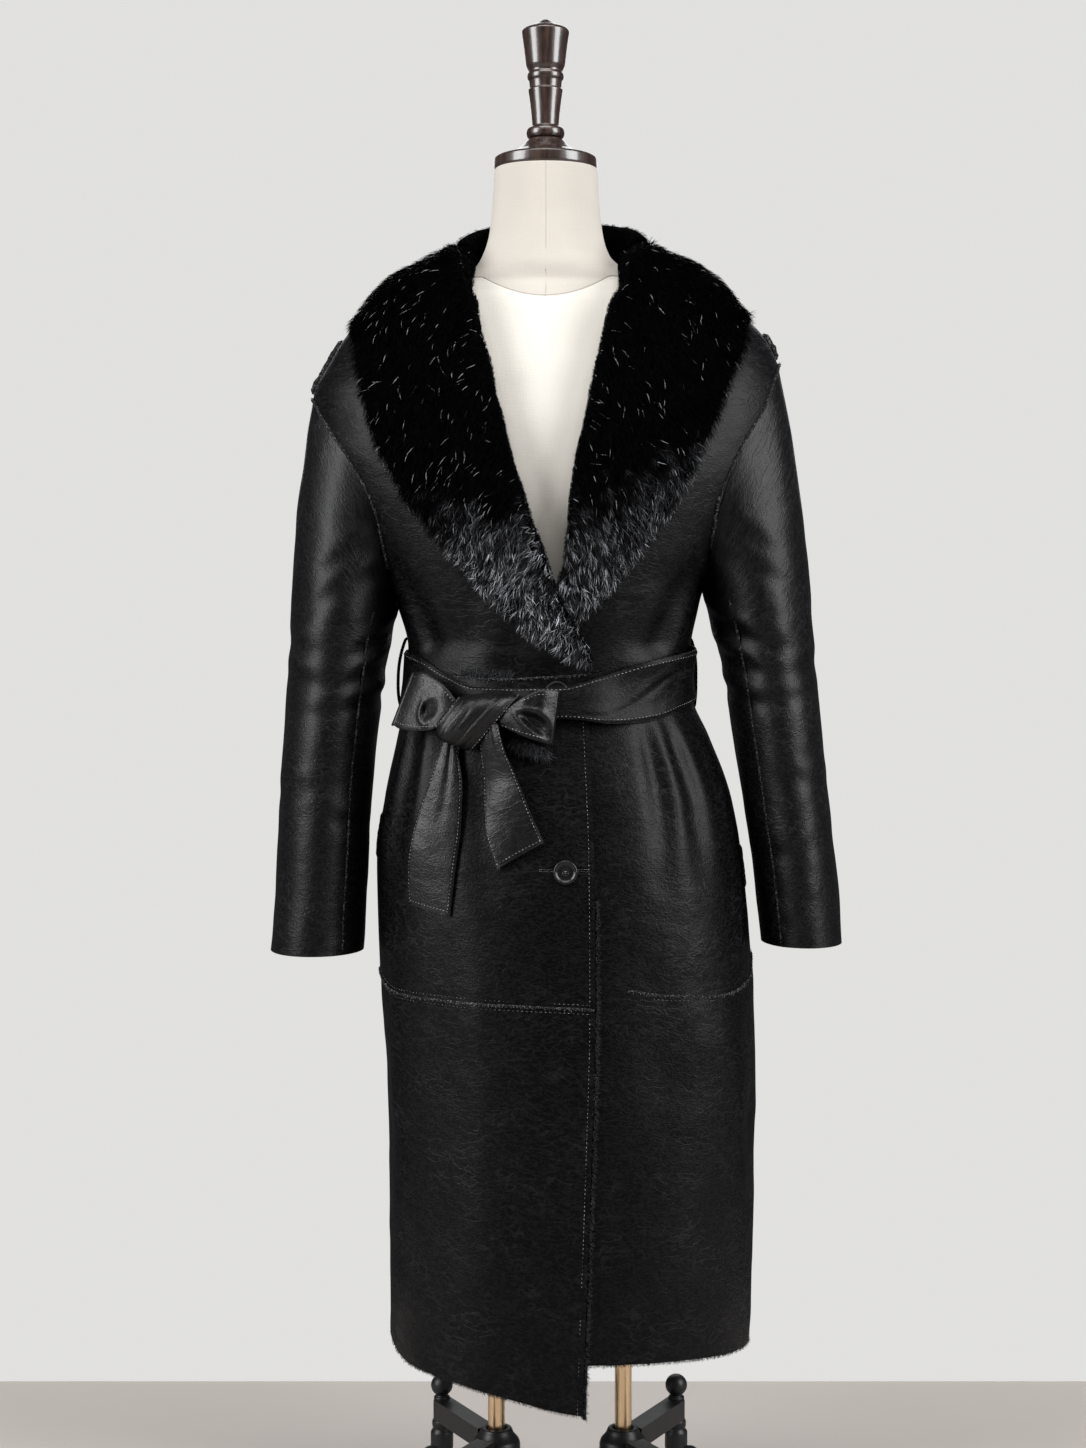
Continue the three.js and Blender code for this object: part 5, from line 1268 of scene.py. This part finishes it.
def beltBand():
    degrees = np.linspace(-180, 180, 330, endpoint=False)[:, None]
    v = np.concatenate([[0, 0.012, 0.03], np.linspace(0.06, 0.94, 24), [0.97, 0.988, 1]])[None]
    degrees, v = np.broadcast_arrays(degrees, v)
    grid, out = beltSurface(degrees, v)
    lay = layOf(grid, 21, turned=True)
    clothPiece("beltCloth", grid, lay, [beltLeather, beltLeather, rawEdge], "belt_band", 2.2, ring=True,
               outward=out)
    around = np.linspace(-178, 178, 900)
    runs = [beltSurface(around, np.full(900, place), 0.12) for place in (0.065, 0.935)]
    stitches("beltStitches", runs, pitch=4.0, length=2.8, width=0.8, height=0.4)


beltBand()
carrier = {"top": 912, "foot": 840, "halfAngle": 2.1, "right": -90, "left": 99}


def carrierPiece(side, seed):
    z = np.linspace(carrier["top"], carrier["foot"], 50)[:, None]
    across = np.linspace(-1, 1, 7)[None]
    degrees = carrier[side] + across * carrier["halfAngle"] + 0 * z
    z = z + 0 * across
    away = np.sin(np.pi * clamp01((carrier["top"] - z) / (carrier["top"] - carrier["foot"])))
    lift = 1.4 + 9.4 * away ** 0.55 + foldDepth(degrees, z) + 0.4 * np.cos(across * 2.2)
    grid = bodyPoint(degrees, z, lift)
    clothPiece(f"beltCarrier_{side}", grid, layOf(grid, seed), [beltLeather] * 3, f"belt_carrier_{side}", 2.2,
               outward=bodyNormal(degrees, z))


for seed, side in enumerate(sides, 23):
    carrierPiece(side, seed)


litStrapMaterials = [litStrapLeather, litStrapLeather, rawEdge]
strapRuns = []


def spline(rows, count):  # a smooth curve through the rows of any number of columns
    rows = np.array(rows, float)
    at = np.arange(len(rows))
    fine = np.linspace(0, len(rows) - 1, count)
    return np.stack([smoothColumn(at, rows[:, k])(fine) for k in range(rows.shape[1])], 1)


tailRows = {  # from the knot down: inner edge x, z and outer edge x, z
    "right": [(-84, 806, -94, 810), (-80, 769, -107, 772), (-83, 725, -119, 742), (-86, 706, -126, 716),
              (-89, 685, -131, 690), (-94, 646, -133, 656)],
    "left": [(-44, 823, -61, 821), (-39, 800, -61, 798), (-31, 779, -61, 775), (-23, 759, -61, 750),
             (-16, 741, -60, 728), (-6, 717, -49, 692)],
}


def tailPiece(side, seed):
    rows = spline(tailRows[side], 90)
    s = np.linspace(0, 1, 90)[:, None]
    v = np.linspace(0, 1, 22)[None]
    inAngle, outAngle = angleAt(rows[:, 0], rows[:, 1]), angleAt(rows[:, 2], rows[:, 3])
    degrees = mix(inAngle[:, None], outAngle[:, None], v)
    z = mix(rows[:, 1:2], rows[:, 3:4], v)
    hold = mix({"right": 8, "left": 19}[side], 1.6, ramp(s * 2.1))
    arch = 1.6 * np.sin(np.pi * v) ** 0.7 * (1 - 0.4 * s)
    crease = 1.5 * hill(v - 0.42 - 0.1 * s, 0.11) * (1 - ramp(s / 0.55))
    swell = np.sin(np.pi * clamp01(0.12 + 0.88 * s)) ** 0.8
    curled = {"right": 9 * v, "left": 15 * (1 - v)}[side] * swell
    uneven = 0.35 * softNoise(np.stack([degrees * 2, z, 0 * z], -1), 15, seed)
    lift = coatLift(degrees, z) + foldDepth(degrees, z) * 0.9 + hold + 2.6
    lift = lift + arch - crease - 0.9 * nearEnds(v, 0.04) + curled + uneven
    grid, out = bodyPoint(degrees, z, lift), bodyNormal(degrees, z)
    clothPiece(f"beltTail_{side}", grid, layOf(grid, seed), litStrapMaterials, f"belt_tail_{side}", 2.6,
               outward=out)
    strapRuns.extend((grid[:, k] + out[:, k] * 0.15, out[:, k]) for k in (1, 20))
    strapRuns.append((grid[-3] + out[-3] * 0.15, out[-3]))


for seed, side in enumerate(sides, 25):
    tailPiece(side, seed)

# The bow loops: each is the strap laid out from the knot and folded back on itself, seen
# from the front with its open end towards the outside.
bowRows = {  # of the front layer from the knot out: top x, z, bottom x, z and the depth y
    "right": [(-87, 848, -104, 829, -128), (-99, 863.5, -113, 823.8, -124), (-111, 872.5, -127, 822.3, -115),
              (-124.5, 878.5, -143, 823.4, -103), (-131, 877.5, -150.5, 827, -95)],
    "left": [(-46, 838.5, -48, 828, -139), (-33, 850.5, -36, 822.8, -144), (-22, 857, -26, 818.6, -148),
             (-8, 862, -13, 814.2, -149), (6.5, 861, 0, 810.5, -143)],
}
bowDepth = 13
# a hollow pressed into the front layer: its middle x and z, half sizes, slant and depth
hollows = {"right": (-115.5, 842.5, 7.6, 10.5, 0.5, 7.5), "left": (-15.5, 831.5, 15, 9.5, -0.5, 8.0)}


def bowPiece(side, seed):
    front = spline(bowRows[side], 46)
    fold = front[-1]
    back = front[::-1].copy()
    away = np.sign(front[-1, 0] - front[0, 0])
    bend = np.linspace(0, np.pi, 12)[1:-1]
    around = np.tile(fold, (len(bend), 1))
    around[:, [0, 2]] += (away * 2.6 * np.sin(bend))[:, None]
    around[:, 4] += bowDepth * 0.5 * (1 - np.cos(bend))
    back[:, 4] += bowDepth
    path = np.concatenate([front, around, back])
    v = np.concatenate([[0, 0.02], np.linspace(0.06, 0.94, 34), [0.98, 1]])
    x, z = mix(path[:, 2:3], path[:, 0:1], v), mix(path[:, 3:4], path[:, 1:2], v)
    y = path[:, 4:5] + 0 * v
    onFront = (np.arange(len(path)) < len(front) + 3)[:, None]
    middleX, middleZ, halfX, halfZ, slant, depth = hollows[side]
    acrossX, acrossZ = x - middleX, z - middleZ - slant * (x - middleX)
    overZ = acrossZ / halfZ
    if side == "right":  # deep by the open end, running out flat towards the knot
        reachX = np.where(acrossX > 0, halfX * 2.3, halfX)
        apart = np.sqrt((acrossX / reachX) ** 2 + overZ**2)
        slope = 0.62 - 0.45 * np.clip(acrossX / reachX, -1, 1)
        slope = slope * mix(1, 0.35, ramp(acrossX / 13))
        rim = ramp((0.15 - acrossX / halfX - 0.5 * np.maximum(overZ, 0)) / 0.7)
    else:  # narrower towards the knot, with one slope all over
        wedge = 1 - 0.35 * np.clip(acrossX / halfX, -1, 1)
        apart = np.sqrt((acrossX / halfX) ** 2 + (overZ * wedge) ** 2)
        slope, rim = 1, 0.7
    dented = depth * slope * (1 - ramp((apart - 0.3) / 0.8)) - 1.9 * rim * hill(apart - 1.22, 0.26)
    bulge = 1.6 * np.sin(np.pi * clamp01(v)) ** 0.8 - 0.8 * nearEnds(v, 0.03)
    y = y + np.where(onFront, dented - bulge, bulge)
    grid = np.stack([x, y, z], -1)
    grid = grid + [0, 1, 0] * (0.3 * softNoise(grid, 10, seed))[..., None]
    lay = layOf(grid, seed, turned=True)
    reach = np.where(onFront[..., None], np.array([0, -1.0, 0]), np.array([0, 1.0, 0])) + 0 * grid
    clothPiece(f"beltBow_{side}", grid, lay, litStrapMaterials, f"belt_bow_{side}", 2.2, outward=reach)
    normal = np.tile([0, -1.0, 0], (len(front), 1))
    strapRuns.extend((grid[:len(front), k] + [0, -0.2, 0], normal) for k in (3, -4))


for seed, side in enumerate(sides, 27):
    bowPiece(side, seed)


# The knot: the strap goes once round the others. Its edges are the two ends of these rows,
# from the right bow's side to the left one's: the top and the foot of the wrap, and its front.
knotRows = [  # top x, z; foot x, z; how far its face stands forward
    (-89, 853.4, -107.8, 829.5, -137), (-80, 856.2, -108, 820.5, -143), (-70, 858, -105, 814.5, -147),
    (-58, 858.8, -98, 811, -149.5), (-46, 858.6, -90, 808.4, -149.5), (-36, 857.6, -81.5, 805.2, -146),
    (-28.5, 856, -74, 803, -140),
]
knotSet = {"middle": -125.5, "rows": 78, "around": 74, "behind": 46}
knotCreases = [  # place across the strap, how far it drifts round the wrap, width, depth
    (0.24, 0.16, 0.040, 0.6), (0.43, 0.07, 0.030, 0.35), (0.64, -0.06, 0.044, 0.9), (0.84, -0.14, 0.030, 0.4),
]


def knotPiece(seed):
    rows = spline(knotRows, knotSet["rows"])
    turn = np.radians(np.linspace(-knotSet["behind"], 180 + knotSet["behind"], knotSet["around"]))[None]
    top = np.stack([rows[:, 0], rows[:, 1]], 1)[:, None]
    foot = np.stack([rows[:, 2], rows[:, 3]], 1)[:, None]
    across = (top + foot) / 2 + (top - foot) / 2 * power(np.cos(turn), 0.8)[..., None]
    s = np.linspace(0, 1, len(rows))[:, None]
    relief = 0 * s * turn
    for place, drift, width, depth in knotCreases:
        at = place + drift * (turn / np.pi - 0.5) + 0.014 * np.sin(3 * turn + 20 * place)
        relief = relief + depth * (0.55 * hill(s - at - 2 * width, 1.5 * width) - hill(s - at, width))
    relief = relief + 1.2 * (hill(s - 0.05, 0.035) + hill(s - 0.95, 0.035)) - 1.1 * nearEnds(s, 0.02)
    middle = knotSet["middle"]
    y = middle - (middle - rows[:, 4:5] + relief) * power(np.sin(turn), 0.8)
    grid = np.stack([across[..., 0], y, across[..., 1]], -1)
    centre = grid.mean(axis=1, keepdims=True)
    centre[..., 1] = middle
    out = unit(grid - centre)
    grid = grid + out * (0.4 * softNoise(grid, 9, seed))[..., None]
    clothPiece("beltKnotWrap", grid, layOf(grid, seed), litStrapMaterials, "belt_knot", 2.4, outward=out)
    strapRuns.extend((grid[row] + out[row] * 0.2, out[row]) for row in (4, -5))


knotPiece(29)
stitches("strapStitches", strapRuns, pitch=3.6, length=2.5, width=0.8, height=0.4)
s = np.linspace(0, 1, 120)
line = np.stack([mix(-38, -2, s), 0 * s - 128, 815 - 12 * s**0.7], 1)
fuzz("bowLining", line, [0, -1.0, -0.3], [0.2, 0, -1.0], 900, length=(4, 11), rise=(1, 4), tone=(0.0, 0.5),
     spread=2.2, width=0.45)
print("belt tied")

# Buttons, the dress form and its stand.
linen, wood, brass, iron, horn = linenFinish(), woodFinish(), brassFinish(), ironFinish(), hornFinish()


def solidOf(name, rings, material, replaced, attributes=None):
    # rings of points from the bottom up, closed at both ends
    rows, columns = rings.shape[:2]
    points = np.concatenate([rings.reshape(-1, 3), rings[:1].mean(1), rings[-1:].mean(1)])
    low, high = rows * columns, rows * columns + 1
    here = np.arange(columns)
    beside = (here + 1) % columns
    last = (rows - 1) * columns
    fans = np.concatenate([
        np.stack([np.full(columns, low), beside, here], 1),
        np.stack([np.full(columns, high), last + here, last + beside], 1),
    ])
    makePiece(name, points, [(gridQuads(rows, columns, 0, True), 0), (fans, 0)], [material],
              [replaced], attributes)


def softened(profile):  # rounds the corners of a turned profile
    line = np.array(profile, float)
    for cutting in range(2):
        cut = []
        for a, b in zip(line[:-1], line[1:]):
            run = np.linalg.norm(b - a)
            share = min(0.25, 0.7 / max(run, 1e-6))
            cut += [mix(a, b, share), mix(b, a, share)]
        line = np.array([line[0], *cut, line[-1]])
    return line


def turned(name, profile, place, material, slot, replaced, steps=64, axes=np.eye(3)):
    line = softened(profile)
    line = line[line[:, 0] > 1e-3]
    turn = np.linspace(0, 2 * np.pi, steps, endpoint=False)
    first, second, axis = axes
    circle = np.cos(turn)[:, None] * first + np.sin(turn)[:, None] * second
    rings = np.array(place) + line[:, 0, None, None] * circle[None] + line[:, 1, None, None] * axis
    solidOf(name, rings, material, replaced)


def buttonPiece(side, seat, replaced):
    x, z = buttonSet[side]
    degrees = angleAt(x, z)
    axis = bodyNormal(degrees, z)
    centre = bodyPoint(degrees, z, overLift(degrees, z) + seat)
    first = unit(np.cross([0, 0, 1.0], axis))
    second = np.cross(axis, first)
    r = buttonSet["radius"]
    profile = [(0, 0), (r - 1.4, 0), (r, 1.4), (r, 3.4), (r - 0.8, 4.5), (r - 2.0, 4.7), (r - 3.0, 4.0),
               (r - 3.9, 3.3), (r - 6.5, 3.0), (3.4, 3.1), (2.6, 2.6), (0, 2.4)]
    turned(f"horn_{replaced}", profile, centre, horn, "horn", replaced, 72, (first, second, axis))
    runs = []
    for aside in (-0.75, 0.75):
        across = np.linspace(-2.5, 2.5, 8)[:, None]
        line = centre + axis * 3.0 + first * across + second * aside + axis * (0.5 - 0.07 * across**2)
        runs.append((line, np.tile(axis, (8, 1))))
    stitches(f"threads_{replaced}", runs, "horn", pitch=0.8, length=4.2, width=0.9, height=0.5)


buttonPiece("lower", -0.1, "button_lower")
buttonPiece("upper", 0.7, "button_upper")

form = {"top": 1374, "neckAxis": -4.5, "shoulderDrop": 4.05, "neckDip": 1242}
shoulderRows = []
for z, inset in ((1240, 11), (1252, 11), (1262, 10)):
    onCloth = z + form["shoulderDrop"]
    shoulderRows.append((z, body.right(onCloth), body.left(onCloth), body.front(z) - inset,
                         body.back(z) - inset))
formBody = Table("z right left front back", [
    (640, 140, 158, 106, 104), (648, 150, 168, 116, 114), (700, 154, 170, 120, 116), (790, 136, 142, 102, 94),
    (874, 119, 117, 84, 76), (950, 130, 128, 98, 86), (1040, 142, 140, 112, 95), (1110, 152, 152, 105, 97),
    (1160, 166, 168, 92, 94), (1195, 178, 182, 80, 88), (1216, 180, 188, 73, 82), *shoulderRows,
    (1276, 76, 74, 54, 58), (1290, 67, 59, 52.5, 56), (1308, 61, 53, 51, 55), (1330, 58, 50, 50, 54),
    (1374, 55, 47, 51, 51),
])
neckSeam = Table("angle z", [
    (-180, 1279), (-90, 1263), (-45, 1250), (0, 1242), (45, 1250), (90, 1264), (180, 1279),
]).z


def dressForm():
    z = np.concatenate([[640, 640.6, 642, 645], np.linspace(648, 1230, 90), np.linspace(1233, 1290, 36),
                        np.linspace(1293, 1373, 30), [1374]])[:, None]
    degrees = np.linspace(-180, 180, 120, endpoint=False)[None]
    rings = sectionPoint(formBody, degrees, z)
    aside = rings[..., 0] - form["neckAxis"]
    inFront = np.abs(degrees) < 90
    dip = form["neckDip"] + 21 * np.clip(aside / 62, -1, 1) ** 2
    far = 60  # beyond this a seam no longer matters
    distances = {
        "toNeck": (z - np.where(inFront, dip, neckSeam(degrees)), 0),
        "toCentre": (np.where(inFront, np.abs(aside), far), far),
        "toSide": (np.minimum(np.abs(np.abs(degrees) - 90) * 1.2, far) + 0 * z, far),
    }
    solidOf("formSkin", rings, linen, "dress_form", {
        name: np.append(field.ravel(), [atEnds, atEnds]) / 1000 for name, (field, atEnds) in distances.items()
    })


dressForm()
base, axisPlace = form["top"] + garment["seam"], (form["neckAxis"], 0, 0)
turned("capDisc", [
    (0, base), (50, base), (51.5, base + 2), (51.5, base + 11), (50, base + 12.6), (44, base + 14.2),
    (36, base + 16.4), (29, base + 19.6), (23.4, base + 24), (19.6, base + 28.4), (17, base + 31),
    (0, base + 31),
], axisPlace, wood, "dark_wood", "neck_cap", 80)
foot = base + 31 + garment["seam"]
turned("finialTurning", [
    (0, foot), (16, foot), (18.6, foot + 1.6), (19.4, foot + 5.5), (18.6, foot + 9.4), (16, foot + 11),
    (13.4, foot + 12), (13.4, foot + 14), (14.2, foot + 24), (15.6, foot + 36), (17.3, foot + 47.2),
    (17.3, foot + 48.2), (16.0, foot + 49), (16.2, foot + 53), (16.6, foot + 57), (17.8, foot + 58),
    (18.4, foot + 60), (18.4, foot + 63), (17.2, foot + 65), (17.2, foot + 67), (18.4, foot + 69),
    (19.6, foot + 72), (20.8, foot + 82), (22.2, foot + 93), (23.8, foot + 103), (24, foot + 105.4),
    (22.4, foot + 107.4), (11, foot + 112.4), (3, foot + 117), (0, foot + 117.6),
], axisPlace, wood, "dark_wood", "finial")

stand = {"axis": 10, "spread": 64, "pole": 8.5, "poleFoot": 82.3, "poleTop": 639.6, "barTop": 82,
         "footX": 124, "footY": 110}
footProfile = [
    (0, 0), (13, 0), (14.5, 2), (14.5, 7), (11, 11), (8.8, 17), (7.5, 27), (8.2, 36), (9.8, 45), (12, 56),
    (12, 72), (9.4, 76), (10.4, 79), (10.4, 84), (8.5, 85.5), (8.5, 109.4), (6.4, 110.6),
]
ball = {"radius": 11.5, "z": 121.5}
for angle in range(-56, 90, 8):
    turn = math.radians(angle)
    footProfile.append((ball["radius"] * math.cos(turn), ball["z"] + ball["radius"] * math.sin(turn)))
footProfile.append((0, 133))
for side, sign in sides.items():
    x = stand["axis"] + sign * stand["spread"]
    pole, low, high = stand["pole"], stand["poleFoot"], stand["poleTop"]
    turned(f"poleTube_{side}", [(0, low), (pole, low), (pole, high), (0, high)], (x, 0, 0), brass, "brass",
           f"pole_{side}")
    low = stand["barTop"] + 0.3
    line = softened([
        (9.0, low), (24, low), (24, 98), (22.6, 102), (19, 106), (17, 109), (16, 112), (14.6, 114),
        (11.6, 114), (9.6, 112.4), (9.0, 110), (9.0, low),
    ])
    turn = np.linspace(0, 2 * np.pi, 64, endpoint=False)
    radius = line[:, :1]
    rings = np.stack([x + radius * np.cos(turn), radius * np.sin(turn), line[:, 1:] + 0 * turn], -1)
    quads = gridQuads(len(line) - 1, 64, 0, True, True)
    makePiece(f"poleBell_{side}", rings[:-1].reshape(-1, 3), [(quads, 0)], [iron],
              [f"pole_socket_{side}"])
    for end, way in (("front", -1), ("back", 1)):
        place = (stand["axis"] + sign * stand["footX"], way * stand["footY"], 0)
        turned(f"footTurning_{end}_{side}", footProfile, place, iron, "black_metal",
               f"foot_{end}_{side}", 34)
        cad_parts[f"arm_{end}_{side}"].material_slots[0].material = iron
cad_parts["cross_bar"].material_slots[0].material = iron
print("form and stand made")

# Floor and light.
studio = {"halfWidth": 3000, "front": -3200, "back": 500, "wall": (0.755, 0.75, 0.74), "fill": 0.08}


def floorFinish():
    finish = Finish("floorFinish")
    at = finish.place()
    cloud = finish.noise(at, 3, 3)
    colour = finish.blend(cloud, (0.40, 0.366, 0.342), (0.435, 0.402, 0.376))
    return finish.surface(colour=colour, roughness=0.7, specular=0.25,
                          normal=finish.bump(finish.noise(at, 90, 3), 0.1, 0.001))


floorMesh = bpy.data.meshes.new("floor")
corners = [(-studio["halfWidth"], studio["front"]), (studio["halfWidth"], studio["front"]),
           (studio["halfWidth"], studio["back"]), (-studio["halfWidth"], studio["back"])]
floorMesh.from_pydata([tuple(toFrame([x, y, 0])) for x, y in corners], [], [(0, 1, 2, 3)])
floorMesh.materials.append(floorFinish())
floor = bpy.data.objects.new("floor", floorMesh)
bpy.context.collection.objects.link(floor)

world = bpy.data.worlds.new("studio")
world.use_nodes = True
air = world.node_tree
air.nodes.clear()
path = air.nodes.new("ShaderNodeLightPath")
wall, fill = air.nodes.new("ShaderNodeBackground"), air.nodes.new("ShaderNodeBackground")
wall.inputs["Color"].default_value = (*studio["wall"], 1)
fill.inputs["Color"].default_value = (0.93, 0.96, 1.0, 1)
fill.inputs["Strength"].default_value = studio["fill"]
either, sky = air.nodes.new("ShaderNodeMixShader"), air.nodes.new("ShaderNodeOutputWorld")
for start, end in (
    (path.outputs["Is Camera Ray"], either.inputs[0]), (fill.outputs[0], either.inputs[1]),
    (wall.outputs[0], either.inputs[2]), (either.outputs[0], sky.inputs["Surface"]),
):
    air.links.new(start, end)
bpy.context.scene.world = world

lamps = [  # place, aimed at, width, height, watts and colour
    ("leftLamp", (-2300, -1300, 1800), (-50, 0, 900), 1.3, 2.2, 122, (0.985, 0.99, 1.0)),
    ("rightLamp", (2300, -1300, 1800), (50, 0, 900), 1.3, 2.2, 122, (0.985, 0.99, 1.0)),
    ("topLamp", (0, -1100, 2900), (0, 0, 1100), 2.0, 1.0, 46, (1.0, 0.99, 0.97)),
    ("rearLamp", (0, 2300, 2000), (0, 0, 1000), 2.2, 1.6, 22, (0.98, 0.99, 1.0)),
]
for name, place, aim, width, height, watts, colour in lamps:
    data = bpy.data.lights.new(name, "AREA")
    data.shape, data.size, data.size_y = "RECTANGLE", width, height
    data.energy, data.color = watts, colour
    lamp = bpy.data.objects.new(name, data)
    lamp.location = toFrame(place)
    direction = Vector(toFrame(aim)) - lamp.location
    lamp.rotation_euler = direction.to_track_quat("-Z", "Y").to_euler()
    bpy.context.collection.objects.link(lamp)
print("floor and light set")


bowCuts = {"right": (0.052, 0.135, ""), "left": (0.050, 0.105, "bowLining")}
for side in sides:
    width, length, lined = bowCuts[side]
